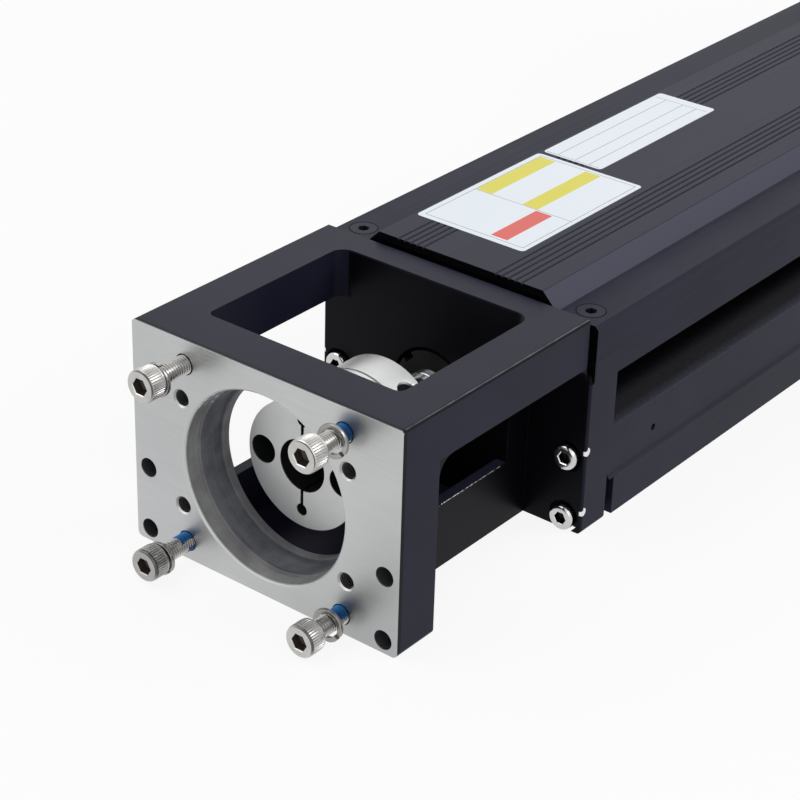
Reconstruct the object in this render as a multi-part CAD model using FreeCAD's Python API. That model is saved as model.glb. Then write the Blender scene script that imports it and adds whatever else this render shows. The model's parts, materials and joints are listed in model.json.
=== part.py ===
import FreeCAD, Part
import math
import os

os.makedirs("parts", exist_ok=True)

# Ball screw linear stage: a motor bracket, a fully covered aluminium body and a carriage whose
# arms leave the body through a slot on each side. Millimetres, +Z up, travel along X.
# Stations along X are measured from the motor face. save() moves every piece so that the origin
# lies on the base plane, under the middle of the stage.

# Body
body_width = 86.0
axis_height = 29.9          # screw axis above the base plane
stroke = 250.0
face_clearance = 1.5        # carriage to cover, and carriage to base
running_gap = 0.3           # guide block to rail

# Motor bracket
bracket_width = 83.6
bracket_height = 61.2
edge_chamfer = 0.6
front_plate = 13.8
top_plate = 13.3
top_plate_end = 72.65
block_front = 64.5          # front of the bearing block, and rear edge of the window
window_width = 60.0
window_front_radius = 2.2
window_rear_radius = 4.0
pocket_front_radius = 5.2
pocket_rear_radius = 4.0
inset_width = 50.0          # over the trough and the bearing block, between the side pockets
trough_wall = 3.0
trough_floor = 4.0
trough_height = 18.4
slot_bottom = 43.3          # slot between the top plate and the flange, at the sides
slot_rear = 74.6
slot_corner = 0.5
slot_web = 0.5              # left between the slot and the pocket's rounded corner
pilot_radius = 25.0
pilot_depth = 5.0
through_radius = 24.1
lip_radius = 23.2           # thin lip left at the rear of the front plate
lip_length = 2.3
seat_chamfer = 0.6
motor_bolt_square = 49.5
second_bolt_spread = 51.96  # second motor pattern, across
second_bolt_height = 30.0   # second motor pattern, up
motor_thread = 2.5
key_hole = 2.6              # hex key passes through the front plate

# Rear flange of the bracket, repeated by the end plate
flange_front = 73.2
flange = 11.8
end_plate_thickness = 10.7
flange_shoulder = 48.7
fixing_spread = 75.0        # bracket and end plate screws, across
fixing_low = 3.6
fixing_high = 21.2
fixing_hole = 2.2
fixing_thread_depth = 16.0
spotface_radius = 4.4
spotface_depth = 2.3
flange_edge_radius = 0.8
flange_relief = 1.2         # thin gap between flange and base, low at both sides
flange_relief_height = 13.0
relief_pad_radius = 3.4     # left round the lower screws
boss_radius = 22.0
boss_length = 3.5
cover_screw_spread = 72.6
cover_screw_set_in = 7.9    # cover screws, from the front of the flange
rear_screw_set_in = 6.2

# Base extrusion
floor = 6.0
base_wall = 9.6
wall_top = 33.0
band_height = 11.0
band_step = 0.6
shoulder_radius = 6.5
lower_relief_width = 36.0
lower_relief_depth = 0.8
end_relief = 2.2
mount_spacing_x = 100.0
mount_spacing_y = 77.0
mount_thread = 2.5
mount_depth = 12.0
grease_port_radius = 0.95
grease_port_set_in = 20.5
grease_port_height = 17.7

# Top cover extrusion
cover_front = 74.7
cover_wall = 2.2
shoulder_height = 58.8
crown_height = 63.25
crown_width = 51.9
skirt_bottom = 42.5
groove_first = 11.5
groove_pitch = 2.0
groove_count = 5
groove_width = 0.7
groove_depth = 0.5

# Screw, nut and bearings
screw_radius = 8.0
screw_clearance = 0.05
journal_radius = 6.0
coupling_journal_radius = 5.0
shaft_shoulder_radius = 7.5
shaft_shoulder_length = 5.0
bearing_bore_start = 72.5
bearing_width = 8.0
bearing_count = 2
bearing_outer_radius = 14.0
bearing_ring = 2.2
nut_seat_radius = 12.0
lock_nut_radius = 11.0
support_outer_radius = 13.0
support_width = 8.0
ring_thickness = 1.1
cage_clearance = 0.2
cap_thickness = 4.0
cap_radius = 22.0
cap_hole_radius = 9.0
cap_bolt_circle = 36.0
nut_body_radius = 14.0
nut_body_length = 40.0
nut_flange_radius = 22.0
nut_flange = 10.0
nut_flat = 18.0
nut_bolt_circle = 35.0
wiper_radius = 11.0
wiper_length = 3.0
cap_gap = 2.0               # nut flange to bearing cap at the near end of the travel

# Coupling
coupling_radius = 17.0
coupling_front = 14.4
hub_length = 9.6
spacer_length = 11.4
disc_pack = 0.5
motor_shaft_radius = 7.0
spacer_bore = 8.0
hub_slit = 0.9
slit_hole_radius = 1.6      # the slits end in the holes of the disc bolts
disc_hole_radius = 3.75
disc_bolt_offset = 12.4
disc_bolt_length = 3.6
clamp_screw_offset = 11.2
clamp_seat = 5.0
shaft_end_inset = 0.6

# Guides
rail_width = 12.0
rail_height = 7.5
rail_end_gap = 2.0
rail_screw_pitch = 70.0
rail_screw_first = 15.0
block_width = 22.0
block_to_wall = 0.6
block_lift = 2.5
block_height = 12.5         # from the floor to the saddle
block_steel = 32.0
block_cap = 4.0
block_cap_inset = 0.4
block_bolt_pitch = 20.0

# Carriage
saddle_length = 100.0
saddle_gap = 0.8            # saddle to the base walls
rib_width = 20.6
rib_bottom = 12.0
hump_width = 40.0
hump_height = 50.0
side_plate = 7.5
table_thickness = 12.0
table_bolt_x = 90.0
table_bolt_y = 80.0
table_thread = 2.5
table_thread_depth = 9.0
side_screw_count = 4
side_screw_first = 12.0
bumper_radius = 4.0
bumper_spread = 55.0
rear_bumper_length = 12.0

# Socket head screws: thread radius, head radius, head height, hexagon across flats
m3 = (1.5, 2.75, 3.0, 2.5)
m4 = (2.0, 3.5, 4.0, 3.0)
m5 = (2.5, 4.25, 5.0, 4.0)
flat_head_radius = 3.8
flat_head_height = 2.0
spring_washer = (2.6, 4.3, 1.2)
# The four motor screws stand out loose: station of each head's front, and of its washer's rear
loose_screws = (
    (1, 1, -15.2, -8.9),
    (-1, 1, -15.0, -3.7),
    (1, -1, -15.7, -9.4),
    (-1, -1, -15.4, -4.6),
)
motor_screw_length = 16.0
bracket_screw_length = 20.0
end_screw_length = 18.0
cover_screw_length = 9.0
cap_screw_length = 8.0
clamp_screw_length = 14.0
nut_screw_length = 14.0
block_screw_length = 9.0
side_screw_length = 9.0
table_screw_length = 14.0

# Sizes that follow
flange_rear = flange_front + flange
base_front = flange_rear
boss_end = flange_rear + boss_length
bearing_end = bearing_bore_start + bearing_count * bearing_width
cap_end = boss_end + cap_thickness
carriage_near = cap_end + cap_gap
carriage_front = carriage_near + stroke
saddle_front = carriage_front + nut_flange
saddle_rear = saddle_front + saddle_length
carriage_length = nut_flange + saddle_length
end_plate_front = saddle_rear + face_clearance + rear_bumper_length
stage_end = end_plate_front + end_plate_thickness
front_bumper_length = carriage_near + nut_flange - face_clearance - flange_rear
block_top = floor + block_height
rail_top = floor + rail_height
rail_start = boss_end + rail_end_gap
rail_end = end_plate_front - rail_end_gap
inner_half = body_width / 2 - cover_wall
inner_top = shoulder_height - cover_wall
plate_underside = bracket_height - top_plate
wall_inner = body_width / 2 - base_wall
rail_spread = 2 * (wall_inner - block_to_wall) - block_width
hub_ends = (coupling_front, coupling_front + hub_length)
spacer_ends = (hub_ends[1] + disc_pack, hub_ends[1] + disc_pack + spacer_length)
screw_hub_ends = (spacer_ends[1] + disc_pack, spacer_ends[1] + disc_pack + hub_length)
arm_bottom = wall_top + face_clearance
arm_top = skirt_bottom - face_clearance
side_inner = body_width / 2 + face_clearance
side_outer = side_inner + side_plate
side_middle = side_inner + side_plate / 2
table_bottom = crown_height + face_clearance
stage_start = min(screw[2] for screw in loose_screws)
middle = (stage_start + stage_end) / 2


def box(x0, x1, y0, y1, z0, z1):
    return Part.makeBox(x1 - x0, y1 - y0, z1 - z0, FreeCAD.Vector(x0, y0, z0))


def rod_x(x0, x1, radius, y=0.0, z=axis_height):
    return Part.makeCylinder(radius, x1 - x0, FreeCAD.Vector(x0, y, z), FreeCAD.Vector(1, 0, 0))


def rod_y(y0, y1, radius, x, z):
    return Part.makeCylinder(radius, y1 - y0, FreeCAD.Vector(x, y0, z), FreeCAD.Vector(0, 1, 0))


def rod_z(z0, z1, radius, x, y):
    return Part.makeCylinder(radius, z1 - z0, FreeCAD.Vector(x, y, z0), FreeCAD.Vector(0, 0, 1))


def ring_x(x0, x1, inner, outer, y=0.0, z=axis_height):
    return rod_x(x0, x1, outer, y, z).cut(rod_x(x0, x1, inner, y, z))


def rounded_wire(corners, place):
    # Each corner is (u, v) or (u, v, radius); place() turns u, v into a point in space.
    edges = []
    starts = []
    ends = []
    count = len(corners)
    for index in range(count):
        u, v = corners[index][:2]
        radius = corners[index][2] if len(corners[index]) == 3 else 0.0
        before = corners[index - 1]
        after = corners[(index + 1) % count]
        a = FreeCAD.Vector(before[0] - u, before[1] - v, 0).normalize()
        b = FreeCAD.Vector(after[0] - u, after[1] - v, 0).normalize()
        point = FreeCAD.Vector(u, v, 0)
        if radius:
            half = a.getAngle(b) / 2
            back = radius / math.tan(half)
            bisector = (a + b).normalize()
            middle_point = point + bisector * (radius / math.sin(half) - radius)
            first = point + a * back
            last = point + b * back
            edges.append((place(first), place(middle_point), place(last)))
        else:
            first = point
            last = point
            edges.append(None)
        starts.append(place(first))
        ends.append(place(last))
    drawn = []
    for index in range(count):
        if edges[index]:
            drawn.append(Part.Arc(*edges[index]).toShape())
        target = starts[(index + 1) % count]
        if ends[index].distanceToPoint(target) > 1e-6:
            drawn.append(Part.makeLine(ends[index], target))
    return Part.Wire(drawn)


def bar_x(corners, x0, x1):
    # Profile in the YZ plane, drawn along X.
    wire = rounded_wire(corners, lambda p: FreeCAD.Vector(x0, p.x, p.y))
    return Part.Face(wire).extrude(FreeCAD.Vector(x1 - x0, 0, 0))


def bar_y(corners, y0, y1):
    # Profile in the XZ plane, drawn along Y.
    wire = rounded_wire(corners, lambda p: FreeCAD.Vector(p.x, y0, p.y))
    return Part.Face(wire).extrude(FreeCAD.Vector(0, y1 - y0, 0))


def bar_z(corners, z0, z1):
    # Profile in the XY plane, drawn along Z.
    wire = rounded_wire(corners, lambda p: FreeCAD.Vector(p.x, p.y, z0))
    return Part.Face(wire).extrude(FreeCAD.Vector(0, 0, z1 - z0))


def both_sides(half):
    # Completes a profile from its +Y half, listed from the bottom middle to the top middle.
    other = [(-corner[0],) + tuple(corner[1:]) for corner in reversed(half)]
    return list(half) + other


def turned(profile, y=0.0, z=axis_height):
    # Station and radius pairs, turned about an axis along X.
    points = [FreeCAD.Vector(x, y, z + r) for x, r in profile]
    points.append(points[0])
    face = Part.Face(Part.makePolygon(points))
    return face.revolve(FreeCAD.Vector(0, y, z), FreeCAD.Vector(1, 0, 0), 360)


def hexagon(across, x0, x1):
    radius = across / math.sqrt(3)
    corners = [(radius * math.cos(math.radians(60 * k)), radius * math.sin(math.radians(60 * k)))
               for k in range(6)]
    return bar_x(corners, x0, x1)


def cap_screw(size, length):
    # Points along +X, with the underside of its head at the origin.
    thread, head, height, across = size
    body = rod_x(-height, 0, head, 0, 0).fuse(rod_x(0, length, thread, 0, 0))
    return body.cut(hexagon(across, -height, -height / 2)).removeSplitter()


def flat_screw(length):
    # Points along +X, with the top of its countersunk head at the origin.
    thread = m4[0]
    profile = [(0, 0), (0, flat_head_radius), (flat_head_height, thread), (length, thread),
               (length, 0)]
    return turned(profile, 0, 0).cut(hexagon(m4[3] - 0.5, 0, flat_head_height * 0.7))


def aim(shape, point, direction):
    placed = shape.copy()
    turn = FreeCAD.Rotation(FreeCAD.Vector(1, 0, 0), FreeCAD.Vector(*direction))
    placed.Placement = FreeCAD.Placement(FreeCAD.Vector(*point), turn)
    return placed


def save(name, *shapes):
    solids = []
    for shape in shapes:
        for solid in shape.Solids:
            moved = solid.copy()
            moved.translate(FreeCAD.Vector(-middle, 0, 0))
            solids.append(moved)
    result = solids[0] if len(solids) == 1 else Part.makeCompound(solids)
    result.exportStep("parts/" + name + ".step")
    print(name, len(solids), "solid(s), volume", round(sum(s.Volume for s in solids)))


def fixing_points():
    # Where the bracket and the end plate are screwed to the ends of the base.
    return [(side * fixing_spread / 2, height) for side in (-1, 1)
            for height in (fixing_low, fixing_high)]


def cover_screw_stations():
    return (flange_front + cover_screw_set_in, stage_end - rear_screw_set_in)


def flange_profile():
    # Full width below the cover's skirts, and inside them above.
    half = [(0, 0), (body_width / 2, 0, 1.2), (body_width / 2, flange_shoulder),
            (inner_half, flange_shoulder), (inner_half, inner_top, 0.8), (0, inner_top)]
    return both_sides(half[1:-1])


def motor_bracket():
    half = [(bracket_width / 2, 0, 1.5), (bracket_width / 2, bracket_height - edge_chamfer),
            (bracket_width / 2 - edge_chamfer, bracket_height)]
    body = bar_x(both_sides(half), 0, flange_front)
    inset = inset_width / 2
    pocket = [(front_plate, -1), (flange_front, -1), (flange_front, plate_underside, pocket_rear_radius),
              (front_plate, plate_underside, pocket_front_radius)]
    for side in (-1, 1):
        y_values = sorted((side * inset, side * bracket_width))
        body = body.cut(bar_y(pocket, *y_values))
    body = body.cut(box(front_plate, block_front, -inset, inset, trough_height, plate_underside))
    body = body.cut(box(front_plate, block_front, trough_wall - inset, inset - trough_wall,
                        trough_floor, trough_height))
    half_window = window_width / 2
    window = [(front_plate, -half_window, window_front_radius),
              (block_front, -half_window, window_rear_radius),
              (block_front, half_window, window_rear_radius),
              (front_plate, half_window, window_front_radius)]
    body = body.cut(bar_z(window, plate_underside - 0.1, bracket_height + 1))
    body = body.fuse(bracket_flange()).fuse(rod_x(flange_rear, boss_end, boss_radius))
    for side in (-1, 1):
        body = body.cut(side_slot(*sorted((side * inset, side * body_width))))
    body = body.cut(box(top_plate_end, slot_rear, -inset, inset, inner_top, bracket_height + 1))
    body = body.cut(turned(pilot_cut()))
    body = body.cut(rod_x(block_front - 1, bearing_bore_start, nut_seat_radius))
    body = body.cut(rod_x(bearing_bore_start, boss_end, bearing_outer_radius))
    body = body.cut(Part.makeCompound(bracket_holes()))
    return body.removeSplitter()


def bracket_flange():
    half_width = body_width / 2
    outline = [(flange_front, -half_width, flange_edge_radius), (flange_rear, -half_width),
               (flange_rear, half_width), (flange_front, half_width, flange_edge_radius)]
    flange_part = bar_x(flange_profile(), flange_front, flange_rear).common(bar_z(outline, 0, inner_top))
    relief = side_relief(flange_rear - flange_relief, flange_rear, flange_relief_height)
    return flange_part.cut(relief)


def side_slot(y0, y1):
    top = bracket_height + 1
    slot = bar_y([(top_plate_end, slot_bottom), (slot_rear, slot_bottom, slot_corner), (slot_rear, top),
                  (top_plate_end, top)], y0, y1)
    web = rod_y(y0, y1, pocket_rear_radius + slot_web, flange_front - pocket_rear_radius,
                plate_underside - pocket_rear_radius)
    return slot.cut(web)


def side_relief(x0, x1, height):
    # Cut outside the inner faces of the base's walls, but not round the lower screws.
    cuts = []
    for side in (-1, 1):
        y_values = sorted((side * wall_inner, side * (body_width / 2 + 1)))
        pad = rod_x(x0, x1, relief_pad_radius, side * fixing_spread / 2, fixing_low)
        cuts.append(box(x0, x1, *y_values, -1, height).cut(pad))
    return Part.makeCompound(cuts)


def pilot_cut():
    lip_start = front_plate - lip_length
    return [(-1, 0), (-1, pilot_radius + seat_chamfer), (0, pilot_radius + seat_chamfer),
            (seat_chamfer, pilot_radius), (pilot_depth, pilot_radius),
            (pilot_depth, through_radius), (lip_start, through_radius),
            (lip_start, lip_radius), (front_plate + 1, lip_radius), (front_plate + 1, 0)]


def bracket_holes():
    holes = []
    for side in (-1, 1):
        for up in (-1, 1):
            y = side * motor_bolt_square / 2
            z = axis_height + up * motor_bolt_square / 2
            holes.append(rod_x(-1, front_plate + 1, motor_thread, y, z))
            y = side * second_bolt_spread / 2
            z = axis_height + up * second_bolt_height / 2
            holes.append(rod_x(-1, front_plate + 1, motor_thread, y, z))
        holes.append(rod_z(inner_top - 8, inner_top + 1, m4[0], cover_screw_stations()[0],
                           side * cover_screw_spread / 2))
    for y, z in fixing_points():
        holes.append(rod_x(-1, front_plate + 1, key_hole, y, z))
        holes.append(rod_x(flange_front, flange_front + spotface_depth, spotface_radius, y, z))
        holes.append(rod_x(flange_front, flange_rear + 1, fixing_hole, y, z))
    for y, z in cap_points():
        holes.append(rod_x(boss_end - cap_screw_length, boss_end, m3[0], y, z))
    return holes


def cap_points():
    radius = cap_bolt_circle / 2
    return [(radius * math.cos(math.radians(45 + 90 * k)),
             axis_height + radius * math.sin(math.radians(45 + 90 * k))) for k in range(4)]


def base_profile():
    outer = body_width / 2
    face = outer - band_step
    half = [(lower_relief_width / 2, lower_relief_depth), (lower_relief_width / 2 + 1, 0),
            (outer, 0), (outer, band_height), (face, band_height + band_step),
            (face, wall_top, shoulder_radius), (wall_inner, wall_top, 0.5), (wall_inner, floor, 1.5)]
    body = bar_x(both_sides(half), base_front, end_plate_front)
    for x0 in (base_front, end_plate_front - end_relief):
        body = body.cut(side_relief(x0, x0 + end_relief, band_height))
    holes = []
    for y, z in fixing_points():
        holes.append(rod_x(base_front, base_front + fixing_thread_depth, m4[0], y, z))
        holes.append(rod_x(end_plate_front - fixing_thread_depth, end_plate_front, m4[0], y, z))
    for x in mount_stations():
        for side in (-1, 1):
            holes.append(rod_z(-1, mount_depth, mount_thread, x, side * mount_spacing_y / 2))
    for x in rail_screw_stations():
        for side in (-1, 1):
            holes.append(rod_z(floor - 4.5, floor, m3[0], x, side * rail_spread / 2))
    holes.append(rod_y(-outer - 1, -wall_inner + 1, grease_port_radius,
                       base_front + grease_port_set_in, grease_port_height))
    return body.cut(Part.makeCompound(holes)).removeSplitter()


def mount_stations():
    # Four pairs of tapped holes in the underside, centred on the base.
    centre = (base_front + end_plate_front) / 2
    return [centre + mount_spacing_x * (k - 1.5) for k in range(4)]


def rail_screw_stations():
    count = int((rail_end - rail_start - 2 * rail_screw_first) // rail_screw_pitch) + 1
    return [rail_start + rail_screw_first + rail_screw_pitch * k for k in range(count)]


def top_cover():
    outer = body_width / 2
    rise = crown_height - shoulder_height
    crown = crown_width / 2
    groove_points = []
    for k in reversed(range(groove_count)):
        y = groove_first + groove_pitch * k
        groove_points += [(y + groove_width / 2, crown_height), (y, crown_height - groove_depth),
                          (y - groove_width / 2, crown_height)]
    slope = cover_wall * (math.sqrt(2) - 1)
    half_outer = [(outer, skirt_bottom), (outer, shoulder_height - 1), (outer - 1, shoulder_height),
                  (crown + rise, shoulder_height), (crown, crown_height)] + groove_points
    half_inner = [(inner_half, skirt_bottom), (inner_half, inner_top),
                  (crown + rise - slope, inner_top), (crown - slope, crown_height - cover_wall)]
    right = half_outer
    left = [(-y, z) for y, z in reversed(half_outer)]
    inner = [(-y, z) for y, z in half_inner] + [(y, z) for y, z in reversed(half_inner)]
    shell = bar_x(right + left + inner, cover_front, stage_end)
    for x0, x1 in ((cover_front - 1, flange_rear), (end_plate_front, stage_end + 1)):
        shell = shell.cut(box(x0, x1, -body_width, body_width, skirt_bottom - 1, flange_shoulder))
    cuts = []
    for x in cover_screw_stations():
        for side in (-1, 1):
            screw_hole = turned([(-1, 0), (-1, flat_head_radius + 0.1), (0, flat_head_radius + 0.1),
                                 (flat_head_height, m4[0] + 0.1), (cover_wall + 1, m4[0] + 0.1),
                                 (cover_wall + 1, 0)], 0, 0)
            cuts.append(aim(screw_hole, (x, side * cover_screw_spread / 2, shoulder_height), (0, 0, -1)))
    return shell.cut(Part.makeCompound(cuts)).removeSplitter()


def end_plate():
    plate = bar_x(flange_profile(), end_plate_front, stage_end)
    depth = support_width + ring_thickness
    holes = [rod_x(end_plate_front, end_plate_front + depth, support_outer_radius)]
    head_depth = m4[2] + 0.4
    for y, z in fixing_points():
        holes.append(rod_x(end_plate_front - 1, stage_end + 1, fixing_hole, y, z))
        holes.append(rod_x(stage_end - head_depth, stage_end + 1, m4[1] + 0.25, y, z))
    for side in (-1, 1):
        holes.append(rod_z(inner_top - 8, inner_top + 1, m4[0], cover_screw_stations()[1],
                           side * cover_screw_spread / 2))
    return plate.cut(Part.makeCompound(holes)).removeSplitter()


def bearing_cap():
    cap = ring_x(boss_end, cap_end, cap_hole_radius, cap_radius)
    head_depth = m3[2]
    for y, z in cap_points():
        cap = cap.cut(rod_x(boss_end, cap_end, m3[0] + 0.2, y, z))
        cap = cap.cut(rod_x(cap_end - head_depth, cap_end, m3[1] + 0.2, y, z))
    return cap


def bearing_rings(start, width, count, inner, outer):
    # Outer rings, inner rings and cages of a row of bearings.
    rings = {"outer": [], "inner": [], "cage": []}
    for k in range(count):
        x0 = start + k * width
        x1 = x0 + width
        rings["outer"].append(ring_x(x0, x1, outer - bearing_ring, outer))
        rings["inner"].append(ring_x(x0, x1, inner, inner + bearing_ring))
        rings["cage"].append(ring_x(x0 + 1, x1 - 1, inner + bearing_ring + cage_clearance,
                                    outer - bearing_ring - cage_clearance))
    return rings


def guide_rail(side):
    y = side * rail_spread / 2
    waist = rail_width / 2 - 0.8
    edge = rail_width / 2
    profile = [(y - edge, floor), (y + edge, floor), (y + edge, floor + 2.5), (y + waist, floor + 4),
               (y + edge, floor + 5.5), (y + edge, rail_top), (y - edge, rail_top),
               (y - edge, floor + 5.5), (y - waist, floor + 4), (y - edge, floor + 2.5)]
    rail = bar_x(profile, rail_start, rail_end)
    holes = []
    for x in rail_screw_stations():
        holes.append(rod_z(floor, rail_top, m3[0] + 0.2, x, y))
        holes.append(rod_z(rail_top - m3[2] - 0.5, rail_top, m3[1] + 0.25, x, y))
    return rail.cut(Part.makeCompound(holes))


def block_profile(side, inset):
    y = side * rail_spread / 2
    half = block_width / 2 - inset
    channel = rail_width / 2 + running_gap
    low = floor + block_lift + inset
    high = block_top - inset
    return [(y - half, low), (y - channel, low), (y - channel, rail_top + running_gap),
            (y + channel, rail_top + running_gap), (y + channel, low), (y + half, low),
            (y + half, high, 1.0), (y - half, high, 1.0)]


def block_starts():
    block_length = block_steel + 2 * block_cap
    return {"front": saddle_front, "rear": saddle_rear - block_length}


def block_bolt_points(side, start):
    middle_x = start + block_cap + block_steel / 2
    return [(middle_x + end * block_bolt_pitch / 2, side * rail_spread / 2) for end in (-1, 1)]


def guide_block(side, start):
    block = bar_x(block_profile(side, 0), start + block_cap, start + block_cap + block_steel)
    for x, y in block_bolt_points(side, start):
        block = block.cut(rod_z(block_top - 4, block_top, m3[0], x, y))
    return block


def guide_block_caps(side, start):
    profile = block_profile(side, block_cap_inset)
    return [bar_x(profile, x0, x0 + block_cap) for x0 in (start, start + block_cap + block_steel)]


def saddle():
    half = [(rib_width / 2, rib_bottom), (rib_width / 2, block_top),
            (wall_inner - saddle_gap, block_top), (wall_inner - saddle_gap, arm_bottom),
            (side_outer, arm_bottom), (side_outer, arm_top), (hump_width / 2, arm_top, 3.0),
            (hump_width / 2, hump_height, 2.0)]
    body = bar_x(both_sides(half), saddle_front, saddle_rear)
    cuts = [rod_x(saddle_front, saddle_rear, nut_body_radius + screw_clearance)]
    for y, z in nut_bolt_points():
        cuts.append(rod_x(saddle_front, saddle_front + 12, m4[0], y, z))
    for side in (-1, 1):
        for x in side_screw_stations():
            y = side * side_middle
            cuts.append(rod_z(arm_bottom - 1, arm_top + 1, m4[0] + 0.2, x, y))
            cuts.append(rod_z(arm_bottom - 1, arm_bottom + m4[2] + 0.2, m4[1] + 0.25, x, y))
        for start in block_starts().values():
            for x, y in block_bolt_points(side, start):
                cuts.append(rod_z(block_top, hump_height + 1, m3[0] + 0.2, x, y))
                cuts.append(rod_z(block_top + 6, hump_height + 1, m3[1] + 0.25, x, y))
    return body.cut(Part.makeCompound(cuts)).removeSplitter()


def side_screw_stations():
    span = saddle_length - 2 * side_screw_first
    step = span / (side_screw_count - 1)
    return [saddle_front + side_screw_first + step * k for k in range(side_screw_count)]


def side_plate_of(side):
    y_values = sorted((side * side_inner, side * side_outer))
    plate = box(carriage_front, saddle_rear, *y_values, arm_top, table_bottom)
    for x in side_screw_stations():
        plate = plate.cut(rod_z(arm_top - 1, arm_top + 8, m4[0], x, side * side_middle))
        plate = plate.cut(rod_z(table_bottom - 8, table_bottom + 1, m4[0], x, side * side_middle))
    return plate


def carriage_table():
    chamfer = 1.0
    half = [(side_outer, table_bottom), (side_outer, table_bottom + table_thickness - chamfer),
            (side_outer - chamfer, table_bottom + table_thickness)]
    table = bar_x(both_sides(half), carriage_front, saddle_rear)
    top = table_bottom + table_thickness
    cuts = []
    for side in (-1, 1):
        for x in side_screw_stations():
            cuts.append(rod_z(table_bottom - 1, top + 1, m4[0] + 0.2, x, side * side_middle))
            cuts.append(rod_z(top - m4[2] - 0.5, top + 1, m4[1] + 0.25, x, side * side_middle))
        for along in (-1, 1):
            x = carriage_front + carriage_length / 2 + along * table_bolt_x / 2
            y = side * table_bolt_y / 2
            cuts.append(rod_z(top - table_thread_depth, top + 1, table_thread, x, y))
    return table.cut(Part.makeCompound(cuts))


def nut_bolt_points():
    radius = nut_bolt_circle / 2
    return [(radius * math.cos(math.radians(a)), axis_height + radius * math.sin(math.radians(a)))
            for a in (0, 60, 120, 180)]


def ball_nut():
    profile = [(carriage_front, screw_radius + screw_clearance), (carriage_front, nut_flange_radius),
               (saddle_front, nut_flange_radius), (saddle_front, nut_body_radius),
               (saddle_front + nut_body_length, nut_body_radius),
               (saddle_front + nut_body_length, screw_radius + screw_clearance)]
    nut = turned(profile)
    low = axis_height - nut_flat
    nut = nut.cut(box(carriage_front, saddle_front, -nut_flange_radius, nut_flange_radius,
                      axis_height - nut_flange_radius - 1, low))
    nut = nut.cut(box(carriage_front, saddle_front, -nut_flange_radius, nut_flange_radius,
                      axis_height + nut_flat, axis_height + nut_flange_radius + 1))
    end = saddle_front + nut_body_length
    nut = nut.cut(rod_x(carriage_front, carriage_front + wiper_length, wiper_radius))
    nut = nut.cut(rod_x(end - wiper_length, end, wiper_radius))
    for y, z in nut_bolt_points():
        nut = nut.cut(rod_x(carriage_front, saddle_front, m4[0] + 0.2, y, z))
        nut = nut.cut(rod_x(carriage_front, carriage_front + m4[2], m4[1] + 0.25, y, z))
    return nut


def nut_wipers():
    end = saddle_front + nut_body_length
    lip = screw_radius + screw_clearance
    return [ring_x(carriage_front, carriage_front + wiper_length, lip, wiper_radius),
            ring_x(end - wiper_length, end, lip, wiper_radius)]


def ball_screw():
    shoulder_end = bearing_end + shaft_shoulder_length
    front = screw_hub_ends[0] + shaft_end_inset
    thread_end = end_plate_front - 2
    end = end_plate_front + ring_thickness + support_width
    step = bearing_bore_start - 10.5
    profile = [(front, 0), (front, coupling_journal_radius - 0.5),
               (front + 0.5, coupling_journal_radius), (step, coupling_journal_radius),
               (step, journal_radius), (bearing_end, journal_radius),
               (bearing_end, shaft_shoulder_radius), (shoulder_end, shaft_shoulder_radius),
               (shoulder_end, screw_radius), (thread_end, screw_radius),
               (thread_end, coupling_journal_radius), (end, coupling_journal_radius), (end, 0)]
    return turned(profile)


def coupling_hub(x0, x1, bore):
    hub = ring_x(x0, x1, bore, coupling_radius)
    cuts = [box(x0, x1, -hub_slit / 2, hub_slit / 2, axis_height, axis_height + coupling_radius + 1),
            box(x0, x1, -hub_slit / 2, hub_slit / 2, axis_height - disc_bolt_offset, axis_height)]
    for side in (-1, 1):
        cuts.append(rod_x(x0, x1, slit_hole_radius, 0, axis_height + side * disc_bolt_offset))
        cuts.append(rod_x(x0, x1, disc_hole_radius, side * disc_bolt_offset))
    x = (x0 + x1) / 2
    z = axis_height + clamp_screw_offset
    cuts.append(rod_y(-coupling_radius, clamp_seat, m3[0], x, z))
    cuts.append(rod_y(clamp_seat, coupling_radius + 1, m3[1] + 0.2, x, z))
    return hub.cut(Part.makeCompound(cuts))


def quarter_turn(shape):
    placed = shape.copy()
    placed.rotate(FreeCAD.Vector(0, 0, axis_height), FreeCAD.Vector(1, 0, 0), 90)
    return placed


def spacer_half_holes(x0, x1):
    # Wide holes for the heads above and below, threads at the sides.
    holes = []
    for side in (-1, 1):
        holes.append(rod_x(x0, x1, disc_hole_radius, 0, axis_height + side * disc_bolt_offset))
        holes.append(rod_x(x0, x1, m3[0], side * disc_bolt_offset))
    return Part.makeCompound(holes)


def coupling_spacer():
    x0, x1 = spacer_ends
    x_middle = (x0 + x1) / 2
    spacer = ring_x(x0, x1, spacer_bore, coupling_radius)
    spacer = spacer.cut(spacer_half_holes(x0, x_middle))
    return spacer.cut(quarter_turn(spacer_half_holes(x_middle, x1)))


def coupling_disc(x0):
    disc = ring_x(x0, x0 + disc_pack, spacer_bore, coupling_radius - 0.6)
    for side in (-1, 1):
        disc = disc.cut(rod_x(x0, x0 + disc_pack, m3[0], side * disc_bolt_offset))
        disc = disc.cut(rod_x(x0, x0 + disc_pack, m3[0], 0, axis_height + side * disc_bolt_offset))
    return disc


def coupling_disc_bolts():
    # At each disc pack, two bolts from the hub into the spacer, and two the other way.
    # The screw's hub is turned a quarter against the motor's hub.
    bolts = []
    screw = cap_screw(m3, disc_bolt_length)
    for side in (-1, 1):
        across = side * disc_bolt_offset
        up = axis_height + side * disc_bolt_offset
        bolts.append(aim(screw, (hub_ends[1], across, axis_height), (1, 0, 0)))
        bolts.append(aim(screw, (spacer_ends[0], 0, up), (-1, 0, 0)))
        bolts.append(aim(screw, (spacer_ends[1], across, axis_height), (1, 0, 0)))
        bolts.append(aim(screw, (screw_hub_ends[0], 0, up), (-1, 0, 0)))
    return bolts


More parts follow.
